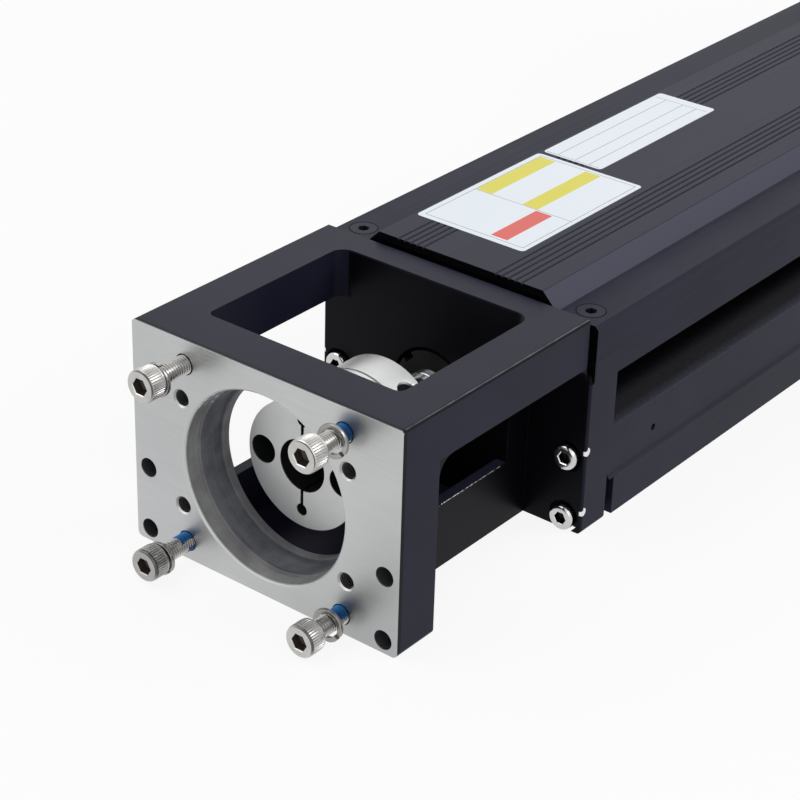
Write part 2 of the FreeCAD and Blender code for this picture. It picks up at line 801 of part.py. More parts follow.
def coupling_clamp_screw(x0, x1):
    place = ((x0 + x1) / 2, clamp_seat, axis_height + clamp_screw_offset)
    return aim(cap_screw(m3, clamp_screw_length), place, (0, -1, 0))


def lock_nut():
    start = block_front
    nut = ring_x(start, bearing_bore_start, journal_radius, lock_nut_radius)
    for k in range(4):
        notch = box(start, start + 3, -1.6, 1.6, lock_nut_radius - 1.5, lock_nut_radius + 1)
        notch.rotate(FreeCAD.Vector(0, 0, 0), FreeCAD.Vector(1, 0, 0), 45 + 90 * k)
        notch.translate(FreeCAD.Vector(0, 0, axis_height))
        nut = nut.cut(notch)
    return nut.cut(rod_z(axis_height, axis_height + lock_nut_radius + 1, m3[0], start + 5, 0))


def lock_nut_set_screw():
    low = axis_height + journal_radius + 0.1
    return rod_z(low, axis_height + lock_nut_radius - 0.4, m3[0], block_front + 5, 0)


def loose_screw_sets():
    screws = []
    springs = []
    for side, up, head_front, washer_rear in loose_screws:
        y = side * motor_bolt_square / 2
        z = axis_height + up * motor_bolt_square / 2
        screws.append(aim(cap_screw(m5, motor_screw_length), (head_front + m5[2], y, z), (1, 0, 0)))
        inner, outer, thick = spring_washer
        springs.append(ring_x(washer_rear - thick, washer_rear, inner, outer, y, z))
    return screws, springs


def bumpers(x0, x1):
    made = []
    dome = 1.2
    tip = x1 if x1 > x0 else x1
    inward = -dome if x1 > x0 else dome
    for side in (-1, 1):
        profile = [(x0, 0), (x0, bumper_radius), (tip + inward, bumper_radius),
                   (tip, bumper_radius - dome), (tip, 0)]
        made.append(turned(profile, side * bumper_spread / 2))
    return made


def fixing_screws(x, length, direction):
    return [aim(cap_screw(m4, length), (x, y, z), (direction, 0, 0)) for y, z in fixing_points()]


def cover_screws():
    screw = flat_screw(cover_screw_length)
    return [aim(screw, (x, side * cover_screw_spread / 2, shoulder_height), (0, 0, -1))
            for x in cover_screw_stations() for side in (-1, 1)]


def rail_screws():
    head_seat = rail_top - m3[2] - 0.5
    length = head_seat - floor + 4
    return [aim(cap_screw(m3, length), (x, side * rail_spread / 2, head_seat), (0, 0, -1))
            for side in (-1, 1) for x in rail_screw_stations()]


def block_screws():
    screws = []
    for side in (-1, 1):
        for start in block_starts().values():
            for x, y in block_bolt_points(side, start):
                screws.append(aim(cap_screw(m3, block_screw_length), (x, y, block_top + 6), (0, 0, -1)))
    return screws


def carriage_side_screws():
    seat = arm_bottom + m4[2] + 0.2
    return [aim(cap_screw(m4, side_screw_length), (x, side * side_middle, seat), (0, 0, 1))
            for side in (-1, 1) for x in side_screw_stations()]


def table_screws():
    seat = table_bottom + table_thickness - m4[2] - 0.5
    return [aim(cap_screw(m4, table_screw_length), (x, side * side_middle, seat), (0, 0, -1))
            for side in (-1, 1) for x in side_screw_stations()]


save("motor_bracket", motor_bracket())
save("base_profile", base_profile())
save("top_cover", top_cover())
save("end_plate", end_plate())
save("bearing_cap", bearing_cap())
save("bearing_cap_screws", *[aim(cap_screw(m3, cap_screw_length), (cap_end - m3[2], y, z), (-1, 0, 0))
                             for y, z in cap_points()])
save("bracket_cap_screws", *fixing_screws(flange_front + spotface_depth, bracket_screw_length, 1))
save("end_plate_screws", *fixing_screws(stage_end - m4[2] - 0.4, end_screw_length, -1))
save("cover_flat_screws", *cover_screws())
screw_set, spring_set = loose_screw_sets()
save("motor_screws", *screw_set)
save("spring_washers", *spring_set)
save("front_bumpers", *bumpers(flange_rear, flange_rear + front_bumper_length))
save("rear_bumpers", *bumpers(end_plate_front, end_plate_front - rear_bumper_length))
save("guide_rail_right", guide_rail(-1))
save("guide_rail_left", guide_rail(1))
save("rail_screws", *rail_screws())

fixed = bearing_rings(bearing_bore_start, bearing_width, bearing_count, journal_radius,
                      bearing_outer_radius)
save("fixed_bearing_outer_rings", *fixed["outer"])
save("fixed_bearing_inner_rings", *fixed["inner"])
save("fixed_bearing_cages", *fixed["cage"])
support = bearing_rings(end_plate_front + ring_thickness, support_width, 1, coupling_journal_radius,
                        support_outer_radius)
save("support_bearing_outer_ring", *support["outer"])
save("support_bearing_inner_ring", *support["inner"])
save("support_bearing_cage", *support["cage"])
save("support_retaining_ring", ring_x(end_plate_front, end_plate_front + ring_thickness,
                                      support_outer_radius - bearing_ring, support_outer_radius))

save("ball_screw", ball_screw())
save("lock_nut", lock_nut())
save("lock_nut_set_screw", lock_nut_set_screw())
save("coupling_motor_hub", coupling_hub(*hub_ends, motor_shaft_radius))
save("coupling_screw_hub", quarter_turn(coupling_hub(*screw_hub_ends, coupling_journal_radius)))
save("coupling_spacer", coupling_spacer())
save("coupling_disc_packs", coupling_disc(hub_ends[1]), coupling_disc(spacer_ends[1]))
save("coupling_disc_bolts", *coupling_disc_bolts())
save("coupling_clamp_screws", coupling_clamp_screw(*hub_ends),
     quarter_turn(coupling_clamp_screw(*screw_hub_ends)))

save("saddle", saddle())
save("side_plate_right", side_plate_of(-1))
save("side_plate_left", side_plate_of(1))
save("carriage_table", carriage_table())
end_caps = []
for side_name, side in (("right", -1), ("left", 1)):
    for end_name, start in block_starts().items():
        save("guide_block_" + end_name + "_" + side_name, guide_block(side, start))
        end_caps += guide_block_caps(side, start)
save("guide_block_end_caps", *end_caps)
save("guide_block_screws", *block_screws())
save("ball_nut", ball_nut())
save("nut_wipers", *nut_wipers())
nut_screw = cap_screw(m4, nut_screw_length)
save("nut_flange_screws", *[aim(nut_screw, (carriage_front + m4[2], y, z), (1, 0, 0))
                            for y, z in nut_bolt_points()])
save("side_plate_screws", *carriage_side_screws())
save("table_screws", *table_screws())
print("middle station", middle, "length", stage_end - stage_start, "bearing end", bearing_end,
      "carriage front", carriage_front, "end plate front", end_plate_front)
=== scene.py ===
import json
import math

import bmesh
import bpy
from mathutils import Matrix, Vector


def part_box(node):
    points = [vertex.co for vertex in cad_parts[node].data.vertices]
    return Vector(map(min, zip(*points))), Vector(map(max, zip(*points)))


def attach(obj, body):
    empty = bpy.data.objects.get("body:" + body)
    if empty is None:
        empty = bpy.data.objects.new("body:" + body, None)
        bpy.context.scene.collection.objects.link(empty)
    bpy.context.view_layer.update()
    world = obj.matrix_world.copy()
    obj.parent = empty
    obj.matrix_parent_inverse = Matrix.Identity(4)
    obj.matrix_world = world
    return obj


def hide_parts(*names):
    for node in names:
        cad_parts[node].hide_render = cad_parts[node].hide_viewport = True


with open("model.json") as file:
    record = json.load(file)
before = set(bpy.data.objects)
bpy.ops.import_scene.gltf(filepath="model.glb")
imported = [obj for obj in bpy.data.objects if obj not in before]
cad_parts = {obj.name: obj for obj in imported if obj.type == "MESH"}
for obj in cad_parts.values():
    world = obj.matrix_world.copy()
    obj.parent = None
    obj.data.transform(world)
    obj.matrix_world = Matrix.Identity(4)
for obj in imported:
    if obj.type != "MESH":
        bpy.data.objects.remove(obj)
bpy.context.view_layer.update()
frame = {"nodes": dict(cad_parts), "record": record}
mm = 0.001
nodeNames = set(frame["nodes"])
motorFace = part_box("motor_bracket")[0].x
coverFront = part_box("top_cover")[0].x
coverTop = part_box("top_cover")[1].z
couplingLow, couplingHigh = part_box("coupling_motor_hub")
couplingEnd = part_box("coupling_screw_hub")[1].x
axisHeight = (couplingLow.z + couplingHigh.z) / 2
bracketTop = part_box("motor_bracket")[1].z
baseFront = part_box("base_profile")[0].x
print("stage: frame loaded,", len(nodeNames), "nodes")

# Camera and light

photoCamera = {
    "fromMotorFace": Vector((-355.3, -316.0, 317.6)) * mm,
    "forward": Vector((0.69145, 0.53626, -0.48407)),
    "right": Vector((0.62413, -0.78087, 0.02644)),
    "lens": 105.29,
}
studio = {
    "backdrop": 1.0,       # what the camera and glossy rays see
    "ambient": 0.5,        # what lights matt surfaces
    "floorShade": 0.86,
    "floorGlow": 0.88,
    "keyPower": 6.2,
    "keySize": 1.1,
    "keyPlace": Vector((-0.55, 0.75, 1.25)),
    "fillPower": 2.4,
    "fillSize": 0.9,
    "fillPlace": Vector((-0.9, -0.9, 0.7)),
    "rimPower": 6.5,
    "rimSize": 0.7,
    "rimPlace": Vector((0.45, -0.90, 0.95)),
    "backPower": 2.0,
    "backSize": 1.0,
    "backPlace": Vector((1.0, 0.85, 0.85)),
    "aim": Vector((60.0, 0, 30.0)) * mm,    # from the motor face
    "floorReach": 4.0,
}


def makeCamera():
    lens = bpy.data.cameras.new("photoCamera")
    lens.lens = photoCamera["lens"]
    lens.sensor_width = 36.0
    lens.clip_start = 0.01
    lens.clip_end = 20.0
    forward = photoCamera["forward"].normalized()
    right = photoCamera["right"].normalized()
    up = right.cross(forward)
    turn = Matrix((right, up, -forward)).transposed().to_4x4()
    camera = bpy.data.objects.new("photoCamera", lens)
    place = Vector((motorFace, 0, 0)) + photoCamera["fromMotorFace"]
    camera.matrix_world = Matrix.Translation(place) @ turn
    bpy.context.scene.collection.objects.link(camera)
    bpy.context.scene.camera = camera


def makeLamp(name, power, size, place, target):
    lamp = bpy.data.lights.new(name, "AREA")
    lamp.energy = power
    lamp.size = size
    lampObject = bpy.data.objects.new(name, lamp)
    lampObject.location = place
    lampObject.rotation_euler = (target - place).to_track_quat("-Z", "Y").to_euler()
    bpy.context.scene.collection.objects.link(lampObject)


makeCamera()
target = Vector((motorFace, 0, 0)) + studio["aim"]
for lampName in ("key", "fill", "rim", "back"):
    makeLamp(lampName, studio[lampName + "Power"], studio[lampName + "Size"],
             studio[lampName + "Place"], target)
bpy.context.scene.view_settings.view_transform = "Standard"


# Shader nodes

class Wire:
    # a socket that does arithmetic: each expression adds its Math nodes
    def __init__(self, nodes, socket):
        self.nodes = nodes
        self.socket = socket

    def math(self, operation, first, second=0.0):
        return self.nodes.add("ShaderNodeMath", {"operation": operation}, {0: first, 1: second})

    def __add__(self, other):
        return self.math("ADD", self, other)

    def __radd__(self, other):
        return self.math("ADD", other, self)

    def __sub__(self, other):
        return self.math("SUBTRACT", self, other)

    def __rsub__(self, other):
        return self.math("SUBTRACT", other, self)

    def __mul__(self, other):
        return self.math("MULTIPLY", self, other)

    def __rmul__(self, other):
        return self.math("MULTIPLY", other, self)

    def __lt__(self, other):
        return self.math("LESS_THAN", self, other)

    def __gt__(self, other):
        return self.math("GREATER_THAN", self, other)

    def __or__(self, other):
        return self.math("MAXIMUM", self, other)

    def __abs__(self):
        return self.math("ABSOLUTE", self)

    def root(self):
        return self.math("SQRT", self)


class NodeSet:
    # one node tree, filled by expressions
    def __init__(self, tree):
        self.tree = tree

    def feed(self, socket, value):
        if isinstance(value, Wire):
            self.tree.links.new(value.socket, socket)
        elif isinstance(value, tuple) and len(value) == 3 and len(socket.default_value) == 4:
            socket.default_value = (*value, 1.0)
        else:
            socket.default_value = value

    def add(self, kind, settings=None, sockets=None, output=0):
        node = self.tree.nodes.new(kind)
        for key, value in (settings or {}).items():
            if key == "stops":
                for stop, (place, shade) in zip(self.stopsOf(node, len(value)), value):
                    stop.position = place
                    stop.color = (shade, shade, shade, 1.0)
            else:
                setattr(node, key, value)
        for key, value in (sockets or {}).items():
            self.feed(node.inputs[key], value)
        return Wire(self, node.outputs[output]) if node.outputs else None

    def stopsOf(self, node, count):
        stops = node.color_ramp.elements
        while len(stops) < count:
            stops.new(0.5)
        return stops

    def blend(self, factor, first, second):
        return self.add("ShaderNodeMix", {"data_type": "RGBA"},
                        {0: factor, 6: first, 7: second}, 2)

    def place(self):
        return self.add("ShaderNodeTexCoord", output=3)

    def axes(self, vector):
        return [self.add("ShaderNodeSeparateXYZ", None, {0: vector}, k) for k in range(3)]

    def stretched(self, vector, scale):
        return self.add("ShaderNodeMapping", None, {"Vector": vector, "Scale": scale})

    def grain(self, vector, scale, detail=2.0, roughness=0.5):
        return self.add("ShaderNodeTexNoise", None, {"Vector": vector, "Scale": scale,
                                                     "Detail": detail, "Roughness": roughness})

    def drawn(self, vector):
        # lines that the drawing die left along X
        return self.grain(self.stretched(vector, (4.0, 900.0, 900.0)), 1.0, 3.0)

    def ramp(self, value, *stops):
        return self.add("ShaderNodeValToRGB", {"stops": stops}, {0: value})

    def mark(self):
        # 1 on the faces that a maker function marked
        return self.add("ShaderNodeAttribute", {"attribute_name": "mark"}, None, 2)

    def bump(self, height, depth):
        return self.add("ShaderNodeBump", None,
                        {"Height": height, "Distance": depth, "Strength": 1.0})


def newMaterial(name, fixed):
    material = bpy.data.materials.new(name)
    material.use_nodes = True
    nodes = NodeSet(material.node_tree)
    shader = material.node_tree.nodes["Principled BSDF"]
    for key, value in fixed.items():
        nodes.feed(shader.inputs[key], value)
    return material, nodes, shader.inputs


def near(first, second, firstPlace, secondPlace, reach):
    # 1 inside a circle around a point of two axes
    dFirst = first - firstPlace
    dSecond = second - secondPlace
    return (dFirst * dFirst + dSecond * dSecond).root() < reach


# World and floor

def makeWorld():
    world = bpy.data.worlds.new("studioWorld")
    bpy.context.scene.world = world
    world.use_nodes = True
    nodes = NodeSet(world.node_tree)
    seen = seenRay(nodes)
    strength = seen * (studio["backdrop"] - studio["ambient"]) + studio["ambient"]
    background = world.node_tree.nodes["Background"]
    nodes.feed(background.inputs["Color"], (1.0, 1.0, 1.0))
    nodes.feed(background.inputs["Strength"], strength)


def seenRay(nodes):
    # camera, glossy and transmission rays
    outputs = [0, 3, 6]
    rays = [nodes.add("ShaderNodeLightPath", output=k) for k in outputs]
    return rays[0] | rays[1] | rays[2]


def makeFloor():
    work = bmesh.new()
    bmesh.ops.create_grid(work, x_segments=1, y_segments=1, size=studio["floorReach"])
    mesh = bpy.data.meshes.new("studioFloor")
    work.to_mesh(mesh)
    work.free()
    floor = bpy.data.objects.new("studioFloor", mesh)
    bpy.context.scene.collection.objects.link(floor)
    material = bpy.data.materials.new("studioFloor")
    material.use_nodes = True
    tree = material.node_tree
    tree.nodes.clear()
    nodes = NodeSet(tree)
    shade = studio["floorShade"]
    matt = nodes.add("ShaderNodeBsdfDiffuse", None, {"Color": (shade, shade, shade)})
    glow = nodes.add("ShaderNodeEmission", None, {"Color": (1.0, 1.0, 1.0), "Strength": 1.0})
    mixed = nodes.add("ShaderNodeMixShader", None,
                      {0: seenRay(nodes) * studio["floorGlow"], 1: matt, 2: glow})
    nodes.add("ShaderNodeOutputMaterial", None, {"Surface": mixed})
    mesh.materials.append(material)


makeWorld()
makeFloor()
print("stage: camera, lamps, world and floor")


# Materials

blackFinish = {
    "shade": (0.0103, 0.0105, 0.0220),
    "worn": (0.0145, 0.0147, 0.0290),
    # edge colour of the marked bevels: part wear, part painted highlight
    "edge": (0.080, 0.080, 0.098),
    "roughness": 0.40,
    "specular": 0.085,
    "tint": (0.84, 0.84, 1.0),
    "grain": 2300.0,
    "grainDepth": 0.012 * mm,
}
bareFinish = {
    "light": (0.60, 0.61, 0.605),
    "dark": (0.47, 0.48, 0.48),
    # painted shade towards the lower corner of the bare face on the -y side
    "corner": (0.37, 0.38, 0.38),
    "cornerReach": 62.0 * mm,
    "chip": (0.80, 0.80, 0.80),
    "roughness": 0.40,
}
pilotSeat = {
    "reach": 25.9 * mm,         # outside of the seat's chamfer
    "step": 24.55 * mm,         # between the seat and the bore behind it
    "lip": 23.65 * mm,          # between that bore and the lip
    "end": 13.7 * mm,
    "chamfer": 25.2 * mm,       # inside of the seat's chamfer
    "seatShades": ((0.24, 0.24, 0.245), (0.36, 0.36, 0.36)),
    # the bore and the lip are painted darker than the seat: painted shade in the recess
    "boreShades": ((0.11, 0.115, 0.13), (0.20, 0.205, 0.22)),
    "lipShades": ((0.19, 0.195, 0.205), (0.30, 0.30, 0.305)),
    "speck": (0.72, 0.72, 0.71),
    "speckRise": 14 * mm,       # above the axis
}


def blackBase(nodes, place, finish, edgeShare):
    # dark dyed surface, a little lighter in clouds; its marked edges take the edge colour, part
    # wear and part painted highlight; where that colour is black it is a painted shadow
    cloud = nodes.grain(place, 35.0, 3.0)
    clouded = nodes.ramp(cloud, (0.35, 0.0), (0.7, 1.0))
    dyed = nodes.blend(clouded, finish["shade"], finish["worn"])
    patchy = nodes.ramp(nodes.grain(place, 420.0, 3.0), (0.3, 0.45), (0.6, 1.0))
    return nodes.blend(patchy * edgeShare, dyed, finish["edge"])


def blackMaterial(name, finish):
    return newMaterial(name, {"Specular IOR Level": finish["specular"],
                              "Specular Tint": finish["tint"]})


def blackAnodised(name, finish=blackFinish, edgeStrength=0.5):
    material, nodes, shader = blackMaterial(name, finish)
    place = nodes.place()
    fine = nodes.grain(place, finish["grain"], 2.0)
    nodes.feed(shader["Base Color"], blackBase(nodes, place, finish, nodes.mark() * edgeStrength))
    nodes.feed(shader["Roughness"], fine * 0.10 + (finish["roughness"] - 0.05))
    nodes.feed(shader["Normal"], nodes.bump(fine, finish["grainDepth"]))
    return material


coverZones = {
    "frontSkin": 0.06 * mm,     # the sawn end is in deep shade
    "frontShade": (0.0008, 0.0008, 0.0012),
    "crownFrom": 62.4 * mm,
    # painted light: the crown and, paler still, the slopes
    "crown": (0.0335, 0.0345, 0.0500),
    "slopeInner": 26.1 * mm,
    "slopeOuter": 30.3 * mm,
    "slope": (0.0730, 0.0710, 0.1020),
    "brow": 41.9 * mm,          # the chamfer between the top and the skirt, painted its own tone as painted light
    "browFrom": 57.6 * mm,
    "browShade": (0.0175, 0.0178, 0.0300),
    "flatInner": 30.8 * mm,     # the only rims between these are those of the screws
    "flatOuter": 41.3 * mm,
    "insideTop": 56.0 * mm,     # no light reaches what is under the cover
    "insideReach": 40.9 * mm,
}


def coverFinish():
    # drawn and dyed; painted light: the crown and its slopes are painted a little paler than the
    # flats, and the sawn end, the screw rims and the underside are painted dark as shade
    material, nodes, shader = blackMaterial("coverFinish", blackFinish)
    place = nodes.place()
    x, y, z = nodes.axes(place)
    side = abs(y)
    fine = nodes.grain(place, blackFinish["grain"], 2.0)
    drawn = nodes.drawn(place)
    upper = z > coverZones["browFrom"]
    brow = (side > coverZones["brow"]) * upper
    slope = (side > coverZones["slopeInner"]) * (side < coverZones["slopeOuter"]) * upper
    shade = blackBase(nodes, place, blackFinish, nodes.mark() * (1.0 - brow) * 0.3)
    shade = nodes.blend((z > coverZones["crownFrom"]) * 0.6, shade, coverZones["crown"])
    shade = nodes.blend(slope * 0.95, shade, coverZones["slope"])
    flat = (side > coverZones["flatInner"]) * (side < coverZones["flatOuter"]) * upper
    # painted shadow on the rims around the flat screws
    shade = nodes.blend(flat * (nodes.mark() > 0.5), shade, coverZones["frontShade"])
    shade = nodes.blend(brow, shade, coverZones["browShade"])
    inside = (z < coverZones["insideTop"]) * (side < coverZones["insideReach"])
    hidden = (x < coverFront + coverZones["frontSkin"]) | inside
    shade = nodes.blend(hidden, shade, coverZones["frontShade"])
    nodes.feed(shader["Base Color"], shade)
    nodes.feed(shader["Roughness"], fine * 0.10 + drawn * 0.12 + (blackFinish["roughness"] - 0.05))
    nodes.feed(shader["Normal"], nodes.bump(fine + drawn * 0.5, blackFinish["grainDepth"]))
    return material


bracketHoles = {
    "motorSquare": 49.5 * mm,
    "secondSpread": 51.96 * mm,
    "secondHeight": 30.0 * mm,
    "tappedReach": 3.0 * mm,
    "keyReach": 3.05 * mm,
    "countersink": 0.32 * mm,
    "end": 13.6 * mm,
    "fixingSpread": 75.0 * mm,
    "fixingHeights": (3.6 * mm, 21.2 * mm),
    "fixingRise": 17.6 * mm,
    "flangeFront": 73.2 * mm,
    # painted shade: the threads and the ring around the four screws, the depths of the key holes,
    # the rims of the unused holes
    "tappedShade": (0.03, 0.03, 0.03),
    "keyShade": (0.085, 0.085, 0.095),
    "rimShade": (0.36, 0.365, 0.36),
    "rimGlint": (0.90, 0.90, 0.90),
    "gapReach": 2.80 * mm,      # painted shadow in the gap around the four loose screws
    "keyLow": -1.2 * mm,        # below these the rims catch the light
    "tappedLow": -1.5 * mm,
}
bracketWear = {
    "skin": 0.05 * mm,          # only the very face was cut bare
    "rimEnd": 0.5 * mm,
    "troughSide": 25.0 * mm,
    "troughTop": 18.4 * mm,
    "troughFrom": 34.0 * mm,
    "troughTo": 62.0 * mm,
    "troughEdge": 0.16 * mm,
    "nickRise": 2.9 * mm,       # above the centre of the spotface
    "nickRadius": 1.20 * mm,
    "nickInner": 42.2 * mm,
}
bracketEdges = {
    "half": 41.8 * mm,
    "band": 1.0 * mm,           # width of the band of painted shade along the long top edges
    "line": 0.62 * mm,          # and of the painted highlight line in it
    "drop": 0.75 * mm,
    "lineDrop": 0.22 * mm,
    "front": 1.3 * mm,
    "frontLine": 0.38 * mm,
    "window": 30.6 * mm,
    "windowDrop": 0.32 * mm,
    # windowLine, bright and grey are painted highlights, dark is painted shade
    "windowLine": (0.050, 0.050, 0.062),
    "bright": (0.125, 0.122, 0.145),
    "grey": (0.13, 0.135, 0.135),
    "dark": (0.0015, 0.0015, 0.0022),
}
# painted shade in the side pockets, on the bearing block's front and in the gap before the cover
bracketInside = {
    "plateRear": 13.9 * mm,
    "flangeFront": 73.25 * mm,
    "side": 24.8 * mm,
    "under": 47.8 * mm,
    "blockFront": 64.5 * mm,
    "skin": 0.25 * mm,
    "windowSide": 30.3 * mm,
    "gap": (73.05 * mm, 75.3 * mm),
    "gapBottom": 43.2 * mm,
    "shade": (0.0016, 0.0016, 0.0026),
}


def tappedPoints():
    points = []
    for side in (-1, 1):
        for up in (-1, 1):
            points.append((side * bracketHoles["motorSquare"] / 2,
                           axisHeight + up * bracketHoles["motorSquare"] / 2))
            points.append((side * bracketHoles["secondSpread"] / 2,
                           axisHeight + up * bracketHoles["secondHeight"] / 2))
    return points


def tappedMasks(depth, y, z):
    # the eight tapped holes are two mirrored patterns, so one corner of each is enough
    across = abs(y)
    up = abs(z - axisHeight)
    half = bracketHoles["motorSquare"] / 2
    inPlate = depth < bracketHoles["end"]
    first = near(across, up, half, half, bracketHoles["tappedReach"])
    second = near(across, up, bracketHoles["secondSpread"] / 2,
                  bracketHoles["secondHeight"] / 2, bracketHoles["tappedReach"])
    return first * inPlate, second * inPlate


def fromHole(y, z):
    # place on the face measured from the nearest hole of the second pattern
    halfY, halfZ = bracketHoles["secondSpread"] / 2, bracketHoles["secondHeight"] / 2
    up = z - axisHeight
    return y + halfY - (y > 0.0) * (2 * halfY), up + halfZ - (up > 0.0) * (2 * halfZ)


def keyHoleMask(depth, y, z):
    across = abs(y)
    half = bracketHoles["fixingSpread"] / 2
    low, high = [near(across, z, half, height, bracketHoles["keyReach"])
                 for height in bracketHoles["fixingHeights"]]
    return (low | high) * (depth < bracketHoles["end"])


def nickMask(depth, y, z):
    # bare crescents where each spotface's upper side runs out at the flange's rounded edge
    start = bracketHoles["flangeFront"]
    radius = bracketWear["nickRadius"]
    outer = abs(y) > bracketWear["nickInner"]
    shapes = []
    for height in bracketHoles["fixingHeights"]:
        middle = height + bracketWear["nickRise"]
        whole = near(depth, z, start + 0.5 * radius, middle, radius)
        cut = near(depth, z, start - 0.1 * radius, middle + 0.85 * radius, 0.75 * radius)
        shapes.append(whole * (1.0 - cut))
    return (shapes[0] | shapes[1]) * outer


def rubMask(nodes, place, depth, y, z):
    # speckled bare line along the top edge of the trough's walls
    atSide = abs(abs(y) - bracketWear["troughSide"]) < bracketWear["troughEdge"]
    atTop = abs(z - bracketWear["troughTop"]) < bracketWear["troughEdge"]
    along = (depth > bracketWear["troughFrom"]) * (depth < bracketWear["troughTo"])
    return atSide * atTop * along * (nodes.grain(place, 2200.0, 2.0) > 0.50)


def boreMetal(nodes, place, radial, z):
    # seat, bore and lip of the pilot hole: turned rings, mottled by handling; the bore and lip
    # painted darker than the seat as painted shade
    ringed = nodes.grain(nodes.stretched(place, (2600.0, 20.0, 20.0)), 1.0, 2.0)
    mottle = nodes.grain(place, 170.0, 4.0, 0.6)
    mark = nodes.ramp(ringed * 0.35 + mottle * 0.65, (0.36, 0.0), (0.64, 1.0))
    seat, bore, lip = [nodes.blend(mark, *pilotSeat[name])
                       for name in ("seatShades", "boreShades", "lipShades")]
    speck = nodes.ramp(nodes.grain(place, 900.0, 3.0), (0.5, 0.0), (0.6, 1.0))
    speck = speck * (z > axisHeight + pilotSeat["speckRise"])
    seat = nodes.blend(speck * 0.6, seat, pilotSeat["speck"])
    seat = nodes.blend(radial > pilotSeat["chamfer"], seat, bareFinish["light"])
    shade = nodes.blend(radial < pilotSeat["step"], seat, bore)
    return nodes.blend(radial < pilotSeat["lip"], shade, lip), ringed


def edgeLines(nodes, depth, y, z, shade):
    # painted light on the edges: a painted highlight line in a band of painted shade along the long
    # top edges, painted shade around the bare face with a grey painted highlight at its top, and a
    # painted highlight along the window's edges
    edges = bracketEdges
    inward = edges["half"] - abs(y)
    drop = bracketTop - z
    long = (depth > edges["front"]) * (depth < bracketHoles["flangeFront"])
    band = long * (inward < edges["band"]) * (drop < edges["drop"])
    line = band * (inward < edges["line"]) * (drop < edges["lineDrop"])
    patchy = nodes.ramp(nodes.grain(nodes.place(), 240.0, 3.0), (0.3, 0.35), (0.6, 1.0))
    window = nodes.mark() * (abs(y) < edges["window"]) * (drop < edges["windowDrop"])
    window = window * (depth > bracketHoles["end"])
    shade = nodes.blend(window, shade, edges["windowLine"])
    shade = nodes.blend(band, shade, edges["dark"])
    shade = nodes.blend(line * patchy, shade, edges["bright"])
    front = depth < edges["front"]
    grey = (depth < edges["frontLine"]) * (drop < edges["drop"])
    shade = nodes.blend(front, shade, edges["dark"])
    return nodes.blend(grey, shade, edges["grey"])


def insideMask(depth, y, z):
    # walls of the side pockets, the front of the bearing block, the gap before the cover: painted
    # shade
    inside = bracketInside
    behind = (depth > inside["plateRear"]) * (depth < inside["flangeFront"])
    pocket = behind * (abs(y) > inside["side"]) * (z < inside["under"])
    under = z < bracketTop - 2 * inside["skin"]
    block = (abs(depth - inside["blockFront"]) < inside["skin"]) * (abs(y) < inside["windowSide"])
    gap = (depth > inside["gap"][0]) * (depth < inside["gap"][1]) * (z > inside["gapBottom"])
    return pocket | block * under | gap * under


def faceHoles(nodes, depth, y, z, metal):
    # painted shade in the threads and around the four screws, painted highlights on the lower rims;
    # key holes painted lit on their lower right
    holes = bracketHoles
    screwed, tapped = tappedMasks(depth, y, z)
    key = keyHoleMask(depth, y, z)
    deep = depth > holes["countersink"]
    rim = (depth > bracketWear["skin"]) * (1.0 - deep)
    over = fromHole(y, z)[1]
    keyOver = z - holes["fixingHeights"][0] - (z > axisHeight / 2) * holes["fixingRise"]
    half = holes["motorSquare"] / 2
    gap = near(abs(y), abs(z - axisHeight), half, half, holes["gapReach"])
    dark = screwed * (deep | rim | gap) | tapped * deep
    lit = tapped * rim * (over < holes["tappedLow"]) | key * rim * (keyOver < holes["keyLow"])
    metal = nodes.blend(dark, metal, holes["tappedShade"])
    metal = nodes.blend(tapped * rim, metal, holes["rimShade"])
    metal = nodes.blend(lit, metal, holes["rimGlint"])
    metal = nodes.blend(key * deep, metal, holes["keyShade"])
    return metal, screwed | tapped | key


